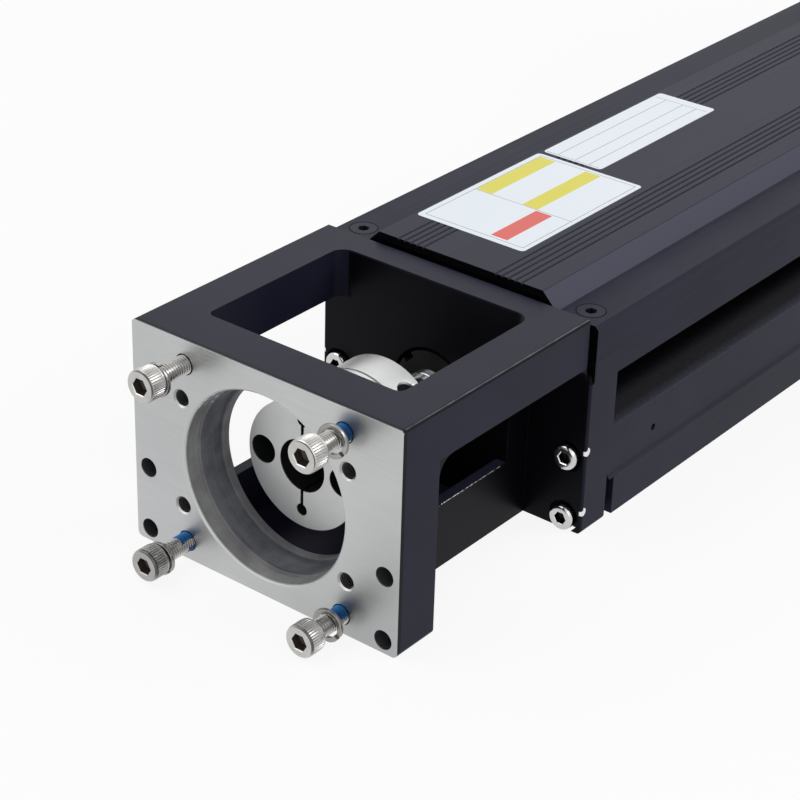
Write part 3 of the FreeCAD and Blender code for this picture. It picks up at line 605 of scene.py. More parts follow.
def bracketFinish():
    # black outside, bare where it was machined after: the motor face, its holes and its round seat
    material, nodes, shader = blackMaterial("bracketFinish", blackFinish)
    place = nodes.place()
    x, y, z = nodes.axes(place)
    depth = x - motorFace
    up = z - axisHeight
    radial = (y * y + up * up).root()
    fine = nodes.grain(place, blackFinish["grain"], 2.0)
    inBore = (radial < pilotSeat["reach"]) * (depth < pilotSeat["end"])
    worn = nickMask(depth, y, z) | rubMask(nodes, place, depth, y, z)
    cloud = nodes.ramp(nodes.grain(place, 28.0, 3.0), (0.35, 0.0), (0.65, 1.0))
    brushed = nodes.grain(nodes.stretched(place, (900.0, 60.0, 1700.0)), 1.0, 3.0)
    metal = nodes.blend(cloud * 0.4 + brushed * 0.6, bareFinish["dark"], bareFinish["light"])
    # the bare face is painted darker towards its lower corner on the -y side: painted shade
    corner = nodes.ramp((y + up) * (-1.0 / bareFinish["cornerReach"]), (0.35, 0.0), (1.0, 1.0))
    metal = nodes.blend(corner * 0.6, metal, bareFinish["corner"])
    boreShade, ringed = boreMetal(nodes, place, radial, z)
    metal = nodes.blend(inBore, metal, boreShade)
    metal, holes = faceHoles(nodes, depth, y, z, metal)
    metal = nodes.blend(worn, metal, bareFinish["chip"])
    bare = (depth < bracketWear["skin"]) | inBore | holes | worn
    edgeShare = nodes.mark() * (depth > bracketWear["rimEnd"]) * 0.8
    black = blackBase(nodes, place, blackFinish, edgeShare)
    # painted shade on the inner walls, less on their marked bevels
    hidden = insideMask(depth, y, z) * (1.0 - nodes.mark() * 0.5)
    black = nodes.blend(hidden, black, bracketInside["shade"])
    black = edgeLines(nodes, depth, y, z, black)
    nodes.feed(shader["Base Color"], nodes.blend(bare, black, metal))
    soft = inBore | holes * (depth > bracketHoles["countersink"])
    nodes.feed(shader["Metallic"], bare * (1.0 - soft * 0.5))
    marks = inBore * ringed + (1.0 - inBore) * (fine * 0.5 + brushed * 0.5)
    blackRough = fine * 0.10 + (blackFinish["roughness"] - 0.05)
    bareRough = marks * 0.14 + inBore * 0.12 + (bareFinish["roughness"] - 0.07)
    nodes.feed(shader["Roughness"], bare * bareRough + (1.0 - bare) * blackRough)
    height = bare * marks * 0.6 + (1.0 - bare) * fine
    nodes.feed(shader["Normal"], nodes.bump(height, blackFinish["grainDepth"]))
    return material


def turnedMetal(name, light, dark, roughness, ringScale):
    # fine rings left by turning, around the axis of the screw
    material, nodes, shader = newMaterial(name, {"Metallic": 1.0})
    place = nodes.place()
    x, y, z = nodes.axes(place)
    up = z - axisHeight
    radial = (y * y + up * up).root()
    rings = nodes.add("ShaderNodeTexNoise", {"noise_dimensions": "1D"},
                      {"W": radial + x * 0.9, "Scale": ringScale, "Detail": 2.0})
    cloud = nodes.grain(place, 60.0, 3.0)
    mark = rings * 0.55 + cloud * 0.45
    clouded = nodes.ramp(mark, (0.3, 0.0), (0.7, 1.0))
    nodes.feed(shader["Base Color"], nodes.blend(clouded, dark, light))
    nodes.feed(shader["Roughness"], mark * 0.18 + (roughness - 0.09))
    nodes.feed(shader["Normal"], nodes.bump(rings, 0.008 * mm))
    return material


def plainMetal(name, light, dark, roughness, grainScale=500.0, inside=None):
    material, nodes, shader = newMaterial(name, {"Metallic": 1.0})
    place = nodes.place()
    cloud = nodes.grain(place, 90.0, 3.0)
    fine = nodes.grain(place, grainScale, 3.0)
    metal = nodes.blend(nodes.ramp(cloud, (0.35, 0.0), (0.65, 1.0)), dark, light)
    nodes.feed(shader["Base Color"], socketPaint(nodes, metal, *(inside or socketShades)))
    nodes.feed(shader["Roughness"], fine * 0.16 + nodes.mark() * 0.25 + (roughness - 0.08))
    nodes.feed(shader["Normal"], nodes.bump(fine, 0.006 * mm))
    return material


def moulded(name, shade, roughness, grainScale=900.0, specular=0.5):
    material, nodes, shader = newMaterial(name, {"Specular IOR Level": specular})
    place = nodes.place()
    fine = nodes.grain(place, grainScale, 3.0)
    lighter = tuple(min(1.0, c * 1.35 + 0.004) for c in shade)
    nodes.feed(shader["Base Color"], nodes.blend(nodes.grain(place, 50.0, 3.0), shade, lighter))
    nodes.feed(shader["Roughness"], fine * 0.12 + (roughness - 0.06))
    nodes.feed(shader["Normal"], nodes.bump(fine, 0.012 * mm))
    return material


couplingFinish = {
    "radius": 16.5 * mm,        # deeper than this, behind the front face, little light comes in
    "skin": 0.35 * mm,
    "shade": (0.035, 0.038, 0.037),
    "dark": (0.58, 0.585, 0.585),
    "light": (0.64, 0.645, 0.645),
}


def couplingMetal():
    # satin aluminium; the bore, the slits and the disc holes are painted dark as shade
    material, nodes, shader = newMaterial("couplingAluminium", {"Metallic": 1.0})
    place = nodes.place()
    x, y, z = nodes.axes(place)
    up = z - axisHeight
    radial = (y * y + up * up).root()
    skin = couplingFinish["skin"]
    behind = (x > couplingLow.x + skin) * (x < couplingEnd - skin)
    inside = behind * (radial < couplingFinish["radius"])
    cloud = nodes.grain(place, 90.0, 3.0)
    fine = nodes.grain(place, 1400.0, 3.0)
    clouded = nodes.ramp(cloud, (0.35, 0.0), (0.65, 1.0))
    metal = nodes.blend(clouded, couplingFinish["dark"], couplingFinish["light"])
    nodes.feed(shader["Base Color"], nodes.blend(inside, metal, couplingFinish["shade"]))
    nodes.feed(shader["Roughness"], fine * 0.16 + inside * 0.2 + 0.36)
    nodes.feed(shader["Normal"], nodes.bump(fine, 0.006 * mm))
    return material


threadLock = {
    "shade": (0.014, 0.250, 0.66),
    "deep": (0.002, 0.022, 0.095),
    "from": -3.9 * mm,
    "to": 1.0 * mm,
    "lowerScrews": 0.7 * mm,    # only the top of their threads is coated
    "leftRise": 0.7 * mm,
    "upperDrop": 1.9 * mm,
    "spotFrom": -2.2 * mm,
    "spotSide": -0.9 * mm,
    "ragged": 2.4 * mm,         # how far its edge wanders
}
looseHead = {
    "dark": (0.42, 0.415, 0.40),
    "light": (0.64, 0.63, 0.615),
    "darkerHead": (0.24, 0.235, 0.23),    # the lower left head is painted darker
    "darkerHeadTo": -9.5 * mm,
    # painted dark reflection on each head's rim, towards its upper -y side
    "rim": (0.10, 0.098, 0.095),
    "rimFrom": 3.82 * mm,
    "rimTo": -14.7 * mm,
    "knurlFrom": 3.85 * mm,
    "knurlTo": -10.0 * mm,
}
socketShades = ((0.075, 0.062, 0.053), (0.21, 0.175, 0.15))     # walls and floor, painted dark as shade


def socketPaint(nodes, metal, wall, floor):
    # hexagon sockets are marked 1 on their walls and 0.5 on their floor; both are painted dark as
    # shade
    mark = nodes.mark()
    metal = nodes.blend(mark > 0.25, metal, floor)
    return nodes.blend(mark > 0.75, metal, wall)


def looseScrewSteel():
    # stainless steel with a dry blue patch on the thread, just in front of the holes
    material, nodes, shader = newMaterial("looseScrewSteel", {})
    place = nodes.place()
    x, y, z = nodes.axes(place)
    depth = x - motorFace
    cloud = nodes.grain(place, 260.0, 3.0)
    ragged = (cloud - 0.5) * threadLock["ragged"]
    half = bracketHoles["motorSquare"] / 2
    upper = z > axisHeight
    left = y > 0.0
    over = z - axisHeight + half - upper * (2 * half)
    across = y + half - left * (2 * half)
    patch = depth + ragged > threadLock["from"]
    bound = left * threadLock["leftRise"] + threadLock["lowerScrews"]
    bound = bound - upper * threadLock["upperDrop"]
    patch = patch * (over + ragged * 0.6 > bound)
    spot = left * (across < threadLock["spotSide"]) * (depth + ragged > threadLock["spotFrom"])
    blue = (patch | spot * (over < 0.0)) * (depth < threadLock["to"]) * (1.0 - left * upper)
    fine = nodes.grain(place, 700.0, 3.0)
    steel = nodes.blend(cloud, looseHead["dark"], looseHead["light"])
    radial = (over * over + across * across).root()
    turned = nodes.ramp((over - across) * (1 / (6.0 * mm)), (0.15, 0.0), (0.6, 1.0))
    darkerHead = left * (1.0 - upper) * (depth < looseHead["darkerHeadTo"])
    steel = nodes.blend(darkerHead * 0.45, steel, looseHead["darkerHead"])
    # painted dark reflection on the head's rim
    rim = (radial > looseHead["rimFrom"]) * (depth < looseHead["rimTo"]) * turned
    steel = nodes.blend(rim, steel, looseHead["rim"])
    knurled = (radial > looseHead["knurlFrom"]) * (depth < looseHead["knurlTo"])
    steel = socketPaint(nodes, steel, *socketShades)
    # painted light and shade on the blue: lighter on each screw's +y side, darker on its -y side
    shaded = nodes.ramp(across * (1 / (5.0 * mm)) + 0.5, (0.2, 0.0), (0.75, 1.0))
    lock = nodes.blend(shaded * 0.7 + cloud * 0.3, threadLock["deep"], threadLock["shade"])
    nodes.feed(shader["Base Color"], nodes.blend(blue, steel, lock))
    nodes.feed(shader["Metallic"], 1.0 - (blue | nodes.mark() * 0.4))
    coarser = blue * 0.25 + nodes.mark() * 0.25 + knurled * 0.1
    nodes.feed(shader["Roughness"], fine * 0.12 + coarser + 0.16)
    nodes.feed(shader["Normal"], nodes.bump(fine, 0.005 * mm))
    return material


shoulderFinish = {
    "from": 26.0 * mm,
    "top": 32.0 * mm,
    "grain": 2200.0,
    "depth": 0.03 * mm,
    # painted highlight along the shoulder's lower edge: height, half width
    "line": (26.35 * mm, 0.22 * mm),
    # painted shade on the shoulder under the cover and inside the base
    "under": (0.0008, 0.0008, 0.0012),
    "speck": (0.060, 0.060, 0.078),
    "insideReach": 36.0 * mm,
    "insideFrom": 3.0 * mm,
    "bandEdge": (11.3 * mm, 0.45 * mm),     # painted highlight along the band's edge: height, half width
    "seam": 0.35 * mm,          # dark joint between the bracket's flange and the base
}


def baseFinish():
    # drawn black surface, coarse on the rounded shoulder under the cover and painted darker there
    # towards the top as painted shade; painted highlights along the shoulder's and the band's
    # edges, painted shade inside
    material, nodes, shader = blackMaterial("baseFinish", blackFinish)
    place = nodes.place()
    x, y, z = nodes.axes(place)
    span = shoulderFinish["top"] - shoulderFinish["from"]
    rise = nodes.ramp((z - shoulderFinish["from"]) * (1.0 / span), (0.03, 0.0), (0.60, 1.0))
    coarse = z > shoulderFinish["from"]
    fine = nodes.grain(place, blackFinish["grain"], 2.0)
    rough = nodes.grain(place, shoulderFinish["grain"], 2.0)
    drawn = nodes.drawn(place)
    dyed = blackBase(nodes, place, blackFinish, nodes.mark() * 0.5)
    # grain specks on the shoulder, fading towards the top with the painted shade
    speckle = nodes.ramp(rough, (0.54, 0.0), (0.62, 1.0)) * coarse * (1.0 - rise * 0.85)
    lineHeight, lineHalf = shoulderFinish["line"]
    bandHeight, bandHalf = shoulderFinish["bandEdge"]
    line = (abs(z - lineHeight) < lineHalf) * 0.6 | (abs(z - bandHeight) < bandHalf) * 0.5
    seam = (x < baseFront + shoulderFinish["seam"]) * (z < shoulderFinish["from"])
    # painted shade inside the base
    inside = (abs(y) < shoulderFinish["insideReach"]) * (z > shoulderFinish["insideFrom"])
    hidden = inside | seam
    shaded = nodes.blend(rise | hidden, dyed, shoulderFinish["under"])
    speckle = (speckle | line) * (1.0 - hidden)
    nodes.feed(shader["Base Color"], nodes.blend(speckle * 0.38, shaded, shoulderFinish["speck"]))
    nodes.feed(shader["Roughness"], fine * 0.1 + drawn * 0.1 + coarse * 0.06 + rise * 0.12 + 0.30)
    deeper = shoulderFinish["depth"] / blackFinish["grainDepth"]
    height = (1.0 - coarse) * fine + coarse * rough * deeper
    nodes.feed(shader["Normal"], nodes.bump(height, blackFinish["grainDepth"]))
    return material


paint = {
    "bracket": bracketFinish(),
    "cover": coverFinish(),
    "base": baseFinish(),
    "black": blackAnodised("blackAnodised"),
    "coupling": couplingMetal(),
    "natural": plainMetal("naturalAluminium", (0.62, 0.63, 0.645), (0.52, 0.53, 0.545), 0.38),
    "steel": plainMetal("screwSteel", (0.70, 0.69, 0.67), (0.50, 0.49, 0.47), 0.22),
    # the polished screws' sockets are painted darker still as shade
    "polished": plainMetal("polishedSteel", (0.72, 0.72, 0.72), (0.56, 0.56, 0.56), 0.16, 300.0,
                           ((0.012, 0.012, 0.012), (0.035, 0.035, 0.036))),
    "looseSteel": looseScrewSteel(),
    "washer": plainMetal("washerSteel", (0.40, 0.39, 0.37), (0.24, 0.235, 0.225), 0.24, 900.0),
    "ground": turnedMetal("groundSteel", (0.62, 0.63, 0.64), (0.50, 0.51, 0.52), 0.22, 5000.0),
    "blackSteel": moulded("blackSteel", (0.005, 0.005, 0.006), 0.34, specular=0.12),
    # black edges on the flat screws: a painted shadow in the ring gap around each head
    "flatScrew": blackAnodised("flatScrewFinish",
                               {**blackFinish, "edge": (0.001, 0.001, 0.0015)}, 1.6),
    "green": moulded("greenPlastic", (0.01, 0.10, 0.05), 0.45),
    "dark": moulded("darkPlastic", (0.02, 0.02, 0.021), 0.5),
    "rubber": moulded("blackRubber", (0.012, 0.012, 0.012), 0.75, 400.0),
}
print("stage: materials")


# Modelling helpers

def newPiece(name, work, material, body, smoothAngle=35, stands=()):
    mesh = bpy.data.meshes.new(name)
    work.to_mesh(mesh)
    work.free()
    mesh.materials.append(material)
    mesh.shade_smooth()
    mesh.set_sharp_from_angle(angle=math.radians(smoothAngle))
    piece = bpy.data.objects.new(name, mesh)
    bpy.context.scene.collection.objects.link(piece)
    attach(piece, body)
    if stands:
        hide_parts(*stands)
    return piece


def mergedCopy(node):
    work = bmesh.new()
    work.from_mesh(frame["nodes"][node].data)
    bmesh.ops.remove_doubles(work, verts=work.verts, dist=0.002 * mm)
    return work


def markFaces(faces, layer, value=1.0):
    for face in faces:
        face[layer] = value


brokenEdge = {"flatWithin": 0.6, "sharpFrom": 30}      # degrees


def finishedCopy(node, material, body, edge, worn):
    # the CAD piece with its edges broken as a real one's are
    work = mergedCopy(node)
    bmesh.ops.dissolve_limit(work, angle_limit=math.radians(brokenEdge["flatWithin"]),
                             verts=work.verts, edges=work.edges)
    limit = math.radians(brokenEdge["sharpFrom"])
    layer = work.faces.layers.float.new("mark")
    sharp = [e for e in work.edges if len(e.link_faces) == 2 and e.calc_face_angle(0.0) > limit]
    made = bmesh.ops.bevel(work, geom=sharp, offset=edge * mm, offset_type="OFFSET", affect="EDGES",
                           segments=2, profile=0.5, material=-1, clamp_overlap=True)
    # marked bevels take their finish's edge colour and painted lines: wear, painted highlights and
    # painted shadows
    if worn:
        markFaces(made["faces"], layer)
    piece = newPiece(node + "_finished", work, material, body, 50, (node,))
    even = piece.modifiers.new("evenNormals", "WEIGHTED_NORMAL")
    even.keep_sharp = True
    return piece


def islandBoxes(node):
    # the box around each separate solid of a node
    work = mergedCopy(node)
    left = set(work.verts)
    boxes = []
    while left:
        waiting = [left.pop()]
        group = []
        while waiting:
            vert = waiting.pop()
            group.append(vert.co.copy())
            for edge in vert.link_edges:
                other = edge.other_vert(vert)
                if other in left:
                    left.remove(other)
                    waiting.append(other)
        low = Vector([min(p[k] for p in group) for k in range(3)])
        high = Vector([max(p[k] for p in group) for k in range(3)])
        boxes.append((low, high))
    work.free()
    return sorted(boxes, key=lambda pair: tuple(pair[0]))


knurl = {"steps": 4, "groove": 0.935}      # one step in four is a groove


def outlineReach(outline, angle, segments):
    # how far a ring of radius 1 reaches at an angle
    if outline == "knurl":
        index = round(angle / (2 * math.pi) * segments)
        return 1.0 if index % knurl["steps"] else knurl["groove"]
    if outline == "hexagon":
        inFlat = (angle + math.pi / 6) % (math.pi / 3) - math.pi / 6
        return 1.0 / math.cos(inFlat)
    return 1.0


def addRings(work, rings, segments):
    # a closed turned body: each ring is the last one extruded, then shaped
    made = bmesh.ops.create_circle(work, cap_ends=False, segments=segments, radius=1.0)
    verts = made["verts"]
    edges = list({edge for vert in verts for edge in vert.link_edges})
    firstEdges = edges
    for number, (height, radius, outline) in enumerate(rings):
        if number:
            grown = bmesh.ops.extrude_edge_only(work, edges=edges)["geom"]
            verts = [item for item in grown if isinstance(item, bmesh.types.BMVert)]
            known = set(verts)
            edges = [item for item in grown if isinstance(item, bmesh.types.BMEdge)
                     and item.verts[0] in known and item.verts[1] in known]
        for vert in verts:
            angle = math.atan2(vert.co.y, vert.co.x)
            reach = radius * mm * outlineReach(outline, angle, segments)
            vert.co = Vector((math.cos(angle) * reach, math.sin(angle) * reach, height * mm))
    bmesh.ops.edgeloop_fill(work, edges=firstEdges)
    bmesh.ops.edgeloop_fill(work, edges=edges)


def addHelix(work, section, lead, turns, stepsPerTurn, start):
    # a closed ridge: a section of (along, out) points carried along a helix about Z
    corners = [work.verts.new((out * mm, 0, (start + along) * mm)) for along, out in section]
    following = corners[1:] + corners[:1]
    edges = [work.edges.new(pair) for pair in zip(corners, following)]
    steps = round(turns * stepsPerTurn)
    before = set(work.faces)
    bmesh.ops.spin(work, geom=corners + edges, cent=(0, 0, 0), axis=(0, 0, 1),
                   angle=turns * 2 * math.pi, dvec=(0, 0, lead * mm / stepsPerTurn),
                   steps=steps, use_merge=False)
    made = [face for face in work.faces if face not in before]
    rim = [edge for edge in {e for f in made for e in f.edges} if len(edge.link_faces) == 1]
    bmesh.ops.holes_fill(work, edges=rim, sides=0)


def settle(work):
    bmesh.ops.recalc_face_normals(work, faces=work.faces)


def alongAxis(direction, place):
    # turns +Z to a direction and moves there
    turn = Vector((0, 0, 1)).rotation_difference(Vector(direction)).to_matrix().to_4x4()
    return Matrix.Translation(place) @ turn


def repeated(source, matrices):
    mesh = bpy.data.meshes.new("pattern")
    source.to_mesh(mesh)
    source.free()
    work = bmesh.new()
    for matrix in matrices:
        known = set(work.verts)
        work.from_mesh(mesh)
        fresh = [vert for vert in work.verts if vert not in known]
        bmesh.ops.transform(work, matrix=matrix, verts=fresh)
    bpy.data.meshes.remove(mesh)
    return work


# Screws

capScrew = {
    "m4": {"thread": 2.0, "head": 3.5, "height": 4.0, "flats": 3.0, "pitch": 0.7, "ridges": 36},
    "m5": {"thread": 2.5, "head": 4.25, "height": 5.0, "flats": 4.0, "pitch": 0.8, "ridges": 42},
}


def socketScrew(size, length, side):
    # head from -height to 0, thread up to length, along +Z
    head = size["head"]
    top = -size["height"]
    half = size["flats"] / 2
    root = size["thread"] - 0.6 * size["pitch"]
    segments = size["ridges"] * (knurl["steps"] if side == "knurl" else 2)
    work = bmesh.new()
    rings = [
        (top + 0.55 * size["height"], half * 0.55, "hexagon"),
        (top + 0.5 * size["height"], half * 0.98, "hexagon"),
        (top + 0.2, half, "hexagon"),
        (top, half + 0.2, "hexagon"),
        (top, head - 0.75, "round"),
        (top + 0.12, head - 0.4, "round"),
        (top + 0.35, head - 0.16, "round"),
        (top + 0.6, head - 0.06, "round"),
        (top + 0.8, head, side),
        (-0.95, head, side),
        (-0.7, head - 0.06, "round"),
        (-0.2, head - 0.1, "round"),
        (0.0, head - 0.3, "round"),
        (0.0, root + 0.25, "round"),
        (0.3, root, "round"),
        (length - 0.6, root, "round"),
        (length, root - 0.5, "round"),
    ]
    layer = work.faces.layers.float.new("mark")
    addRings(work, rings, segments)
    reach = half / math.cos(math.pi / 6) * mm
    inside = [face for face in work.faces
              if (top + 0.15) * mm < face.calc_center_median().z < -0.35 * size["height"] * mm
              and face.calc_center_median().xy.length < reach]
    markFaces(inside, layer)
    markFaces([face for face in inside if abs(face.normal.z) > 0.9], layer, 0.5)
    crest = size["thread"]
    pitch = size["pitch"]
    section = [(-0.44 * pitch, root - 0.1), (-0.1 * pitch, crest), (0.1 * pitch, crest),
               (0.44 * pitch, root - 0.1)]
    runOut = 0.6        # plain at each end of the thread
    addHelix(work, section, pitch, (length - 2 * runOut) / pitch, 24, runOut)
    settle(work)
    return work


def screwSet(node, direction, size, material, body, side):
    # one detailed screw in the place of each solid of the node
    boxes = islandBoxes(node)
    axis = max(range(3), key=lambda k: abs(direction[k]))
    low, high = boxes[0]
    whole = (high[axis] - low[axis]) / mm
    matrices = []
    for low, high in boxes:
        seat = (low + high) / 2
        if direction[axis] > 0:
            seat[axis] = low[axis] + size["height"] * mm
        else:
            seat[axis] = high[axis] - size["height"] * mm
        matrices.append(alongAxis(direction, seat))
    work = repeated(socketScrew(size, whole - size["height"], side), matrices)
    newPiece(node + "_detailed", work, material, body, 38, (node,))


springWasher = {
    "inner": 3.0,
    "thick": 1.15,
    "round": 0.3,
    "lift": 0.62,
    "turns": 0.98,
    "sag": 0.42,                # they hang on the threads
    "splitAngles": (-50.0, 200.0, -60.0, -52.0),
}


def springWashers():
    # each nearly one turn of a coil, with a small step where its two ends meet
    work = bmesh.new()
    boxes = islandBoxes("spring_washers")
    low, high = boxes[0]
    outer = (high.y - low.y) / 2 / mm
    inner, thick, lift = springWasher["inner"], springWasher["thick"], springWasher["lift"]
    corner = springWasher["round"]
    cut = 0.3 * corner
    section = [(0.0, inner + corner), (0.0, outer - corner), (cut, outer - cut), (corner, outer),
               (thick - corner, outer), (thick - cut, outer - cut), (thick, outer - corner),
               (thick, inner + corner), (thick - cut, inner + cut), (thick - corner, inner),
               (corner, inner), (cut, inner + cut)]
    addHelix(work, section, lift, springWasher["turns"], 60, 0.0)
    settle(work)
    sag = springWasher["sag"] * mm
    matrices = []
    for angle, (low, high) in zip(springWasher["splitAngles"], boxes):
        place = Vector((low.x, (low.y + high.y) / 2, (low.z + high.z) / 2 - sag))
        turned = Matrix.Rotation(math.radians(angle), 4, "Z")
        matrices.append(alongAxis((1, 0, 0), place) @ turned)
    newPiece("spring_washers_split", repeated(work, matrices), paint["washer"], "frame",
             38, ("spring_washers",))


screwSets = (       # node, direction, size, finish, body, side of the head
    ("motor_screws", (1, 0, 0), "m5", "looseSteel", "frame", "knurl"),
    ("bracket_cap_screws", (1, 0, 0), "m4", "polished", "frame", "round"),
    ("end_plate_screws", (-1, 0, 0), "m4", "polished", "frame", "round"),
    ("table_screws", (0, 0, -1), "m4", "steel", "carriage", "knurl"),
    ("side_plate_screws", (0, 0, 1), "m4", "steel", "carriage", "knurl"),
)
for node, direction, size, finish, body, side in screwSets:
    screwSet(node, direction, capScrew[size], paint[finish], body, side)
springWashers()
print("stage: screws and washers")


# Tapped holes of the motor face

holeThread = {"radius": 2.5, "depth": 0.44, "pitch": 0.8, "from": 0.85, "turns": 14}
holeCone = {
    "front": 0.04,
    "rear": 0.46,
    "inner": 2.10,
    "segments": 48,
    # painted light on the tapped holes: the cone's foot and one side of the threads painted bright,
    # the rest dark
    "shade": (0.42, 0.425, 0.42),
    "foot": (0.88, 0.88, 0.88),
    "threadShades": ((0.06, 0.06, 0.06), (0.92, 0.92, 0.92)),
    "span": 2.4 * mm,
}


def holeThreadMetal():
    material, nodes, shader = newMaterial("holeThreadMetal", {"Metallic": 0.25, "Roughness": 0.35})
    # painted highlights and shade: threads bright on each hole's -y side and dark on its +y side,
    # the cone bright at its foot
    x, y, z = nodes.axes(nodes.place())
    across, over = fromHole(y, z)
    perSpan = 1 / holeCone["span"]
    glint = nodes.ramp((across * -1.0 + over * 0.2) * perSpan, (0.0, 0.0), (0.7, 1.0))
    metal = nodes.blend(glint, *holeCone["threadShades"])
    cone = x < motorFace + holeCone["rear"] * mm
    foot = nodes.ramp((over * -1.0) * perSpan, (0.45, 0.0), (0.9, 1.0))
    plate = nodes.blend(foot, holeCone["shade"], holeCone["foot"])
    nodes.feed(shader["Base Color"], nodes.blend(cone, metal, plate))
    return material


def addCountersink(work):
    # the cone at the mouth of a tapped hole
    cone = holeCone
    made = bmesh.ops.create_cone(work, cap_ends=False, segments=cone["segments"],
                                 radius1=holeThread["radius"] * mm, radius2=cone["inner"] * mm,
                                 depth=(cone["rear"] - cone["front"]) * mm)
    bmesh.ops.translate(work, verts=made["verts"],
                        vec=Vector((0, 0, (cone["rear"] + cone["front"]) / 2 * mm)))
    return {face for vert in made["verts"] for face in vert.link_faces}


def holeThreads():
    work = bmesh.new()
    crest = holeThread["radius"] - holeThread["depth"]
    half = 0.42 * holeThread["pitch"]
    section = [(-half, holeThread["radius"] + 0.05), (-0.1, crest), (0.1, crest),
               (half, holeThread["radius"] + 0.05)]
    addHelix(work, section, holeThread["pitch"], holeThread["turns"], 24, holeThread["from"])
    settle(work)
    bmesh.ops.reverse_faces(work, faces=list(addCountersink(work)))
    matrices = [alongAxis((1, 0, 0), Vector((motorFace, y, z))) for y, z in tappedPoints()]
    newPiece("motor_face_threads", repeated(work, matrices), holeThreadMetal(), "frame",
             38)


holeThreads()
print("stage: threads")


# Ball screw

ballThread = {"outer": 8.0, "root": 7.05, "lead": 10.0, "land": 6.4, "foot": 7.6}


def ballScrew():
    # the CAD shaft turned down to the groove's bottom, and the land wound around it
    low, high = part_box("ball_screw")
    threadFrom = (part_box("bearing_cap")[0].x + 5 * mm - low.x) / mm
    threadTo = (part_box("end_plate")[0].x - 2 * mm - low.x) / mm
    length = (high.x - low.x) / mm
    journal = (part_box("lock_nut")[0].x - low.x) / mm - 2.5
    root = ballThread["root"]
    rings = [
        (0.0, 4.5), (0.5, 5.0), (journal, 5.0), (journal, 5.85), (journal + 0.2, 6.0),
        (threadFrom - 5.0, 6.0), (threadFrom - 5.0, 7.2), (threadFrom - 4.7, 7.5),
        (threadFrom - 0.3, 7.5), (threadFrom, root), (threadTo, root), (threadTo, 5.0),
        (length - 0.5, 5.0), (length, 4.5),
    ]
    work = bmesh.new()
    addRings(work, [(along, radius, "round") for along, radius in rings], 48)
    half = ballThread["land"] / 2
    foot = ballThread["foot"] / 2
    out = ballThread["outer"]
    section = [(-foot, root - 0.2), (-foot + 0.15, root + 0.25), (-half - 0.15, out - 0.15),
               (-half + 0.1, out), (half - 0.1, out), (half + 0.15, out - 0.15),
               (foot - 0.15, root + 0.25), (foot, root - 0.2)]
    lead = ballThread["lead"]
    turns = (threadTo - threadFrom - ballThread["foot"]) / lead
    addHelix(work, section, lead, turns, 36, threadFrom + foot)
    settle(work)
    matrix = alongAxis((1, 0, 0), Vector((low.x, 0, axisHeight)))
    bmesh.ops.transform(work, matrix=matrix, verts=work.verts)
    newPiece("ball_screw_threaded", work, paint["ground"], "screw", 38,
             ("ball_screw",))


ballScrew()
print("stage: ball screw")


# Stickers on the cover: blank, with plain ruled fields

stickers = {
    "front": {"x": (89.4, 144.6), "y": (-9.2, 25.4)},
    "rear": {"x": (146.3, 206.0), "y": (5.9, 25.2)},
    "thickness": 0.06,
    "corner": 1.2,
    "paper": ((0.715, 0.765, 0.825), (0.735, 0.785, 0.845)),
}


def stickerPaper(name):
    material, nodes, shader = newMaterial(name, {"Specular IOR Level": 0.4})
    place = nodes.place()
    x, y = nodes.axes(place)[:2]
    along = (x - motorFace) * (1 / mm)
    across = y * (1 / mm)
    shade = nodes.blend(nodes.grain(place, 40.0, 2.0), *stickers["paper"])
    for low, high, right, left, colour in fieldsOf(name):
        inside = (along > low) * (along < high) * (across > right) * (across < left)
        shade = nodes.blend(inside, shade, colour)
    nodes.feed(shader["Base Color"], shade)
    nodes.feed(shader["Roughness"], nodes.grain(place, 300.0, 2.0) * 0.08 + 0.34)
    return material


def fieldsOf(name):
    # (from, to, right, left, colour) of each plain field, in millimetres
    # from the motor face and from the axis
    ink = (0.16, 0.16, 0.17)
    yellow = (0.66, 0.60, 0.035)
    red = (0.66, 0.075, 0.055)
    if name == "stickerFront":
        return [
            (113.1, 142.6, 18.3, 23.5, yellow),
            (113.1, 142.6, 3.2, 8.3, yellow),
            (92.3, 112.3, -2.1, 3.1, red),
            (91.3, 143.3, 23.6, 23.8, ink),
            (91.3, 143.3, -7.9, -7.7, ink),
            (91.2, 91.4, -7.9, 23.8, ink),
            (143.1, 143.3, -7.9, 23.8, ink),
            (112.8, 113.0, -7.9, 23.8, ink),
        ]
    return [
        (147.0, 202.6, 20.6, 20.8, ink),
        (147.0, 202.6, 14.8, 15.0, ink),
        (147.0, 202.6, 10.2, 10.4, ink),
        (147.0, 147.2, 7.0, 24.4, ink),
        (202.4, 202.6, 7.0, 24.4, ink),
    ]


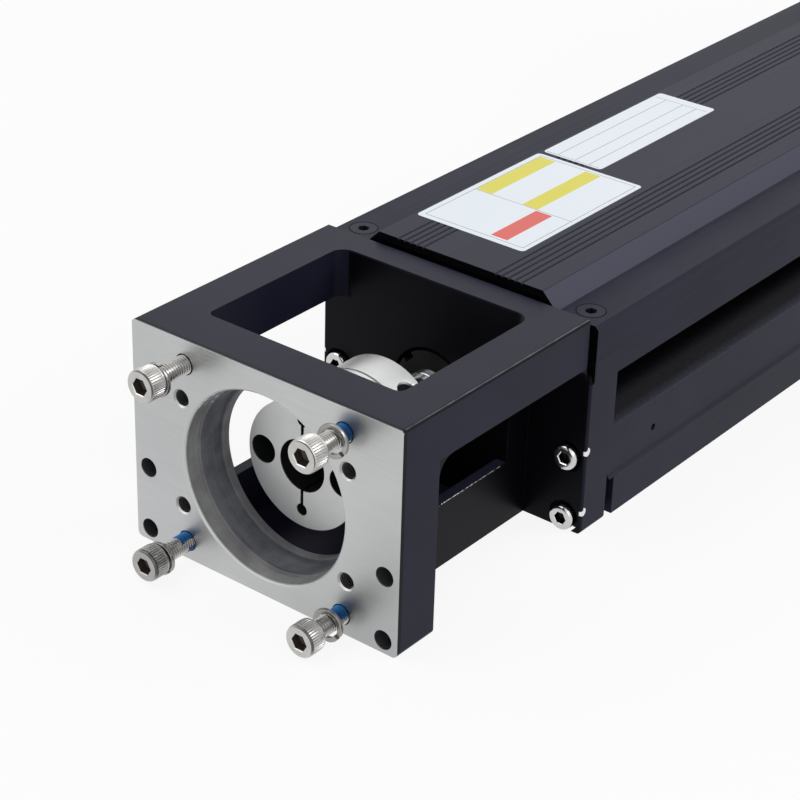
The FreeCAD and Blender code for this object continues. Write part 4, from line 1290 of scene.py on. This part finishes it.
def makeSticker(name, field):
    (xLow, xHigh), (yLow, yHigh) = field["x"], field["y"]
    work = bmesh.new()
    bmesh.ops.create_grid(work, x_segments=1, y_segments=1, size=0.5)
    middle = Vector(((xLow + xHigh) / 2 * mm + motorFace, (yLow + yHigh) / 2 * mm, coverTop))
    size = Vector(((xHigh - xLow) * mm, (yHigh - yLow) * mm, 1.0))
    bmesh.ops.scale(work, vec=size, verts=work.verts)
    bmesh.ops.bevel(work, geom=work.verts[:], offset=stickers["corner"] * mm, offset_type="OFFSET",
                    affect="VERTICES", segments=4, profile=0.5, material=-1)
    bmesh.ops.translate(work, vec=middle, verts=work.verts)
    grown = bmesh.ops.extrude_face_region(work, geom=work.faces[:])["geom"]
    raised = [item for item in grown if isinstance(item, bmesh.types.BMVert)]
    bmesh.ops.translate(work, vec=Vector((0, 0, stickers["thickness"] * mm)), verts=raised)
    settle(work)
    newPiece(name, work, stickerPaper(name), "frame")     # attached to the frame body


makeSticker("stickerFront", stickers["front"])
makeSticker("stickerRear", stickers["rear"])
print("stage: stickers")


# CAD pieces with broken edges

finishes = {
    "motor_bracket": ("bracket", 0.3),
    "top_cover": ("cover", 0.25),
    "base_profile": ("base", 0.35),
    "end_plate": ("black", 0.4),
    "bearing_cap": ("blackSteel", 0.3),
    "carriage_table": ("black", 0.4),
    "side_plate_left": ("black", 0.4),
    "side_plate_right": ("black", 0.4),
    "saddle": ("natural", 0.3),
    "coupling_motor_hub": ("coupling", 0.3),
    "coupling_screw_hub": ("coupling", 0.3),
    "coupling_spacer": ("coupling", 0.3),
    "lock_nut": ("blackSteel", 0.25),
    "ball_nut": ("ground", 0.3),
    "cover_flat_screws": ("flatScrew", 0.25),
    "guide_rail_left": ("ground", 0.2),
    "guide_rail_right": ("ground", 0.2),
    "guide_block_front_left": ("ground", 0.25),
    "guide_block_front_right": ("ground", 0.25),
    "guide_block_rear_left": ("ground", 0.25),
    "guide_block_rear_right": ("ground", 0.25),
}
markedFinishes = ("bracket", "cover", "base", "black", "flatScrew")
slotFinish = {
    "black_anodised": "black",
    "bare_aluminium": "coupling",
    "silver_anodised": "natural",
    "stainless_steel": "steel",
    "black_steel": "blackSteel",
    "bearing_steel": "ground",
    "spring_steel": "steel",
    "green_plastic": "green",
    "dark_plastic": "dark",
    "black_rubber": "rubber",
}
nodeSlot = {entry["node"]: entry["material_slot"] for entry in frame["record"]["subparts"]}
for bodyName, members in frame["record"]["behaviour"]["bodies"].items():
    for node in members:
        cadObject = frame["nodes"][node]
        if cadObject.hide_render:
            continue
        if node in finishes:
            finish, edge = finishes[node]
            finishedCopy(node, paint[finish], bodyName, edge,
                         finish in markedFinishes)
        else:
            cadObject.data.materials.clear()
            cadObject.data.materials.append(paint[slotFinish[nodeSlot[node]]])
print("stage: finished pieces")
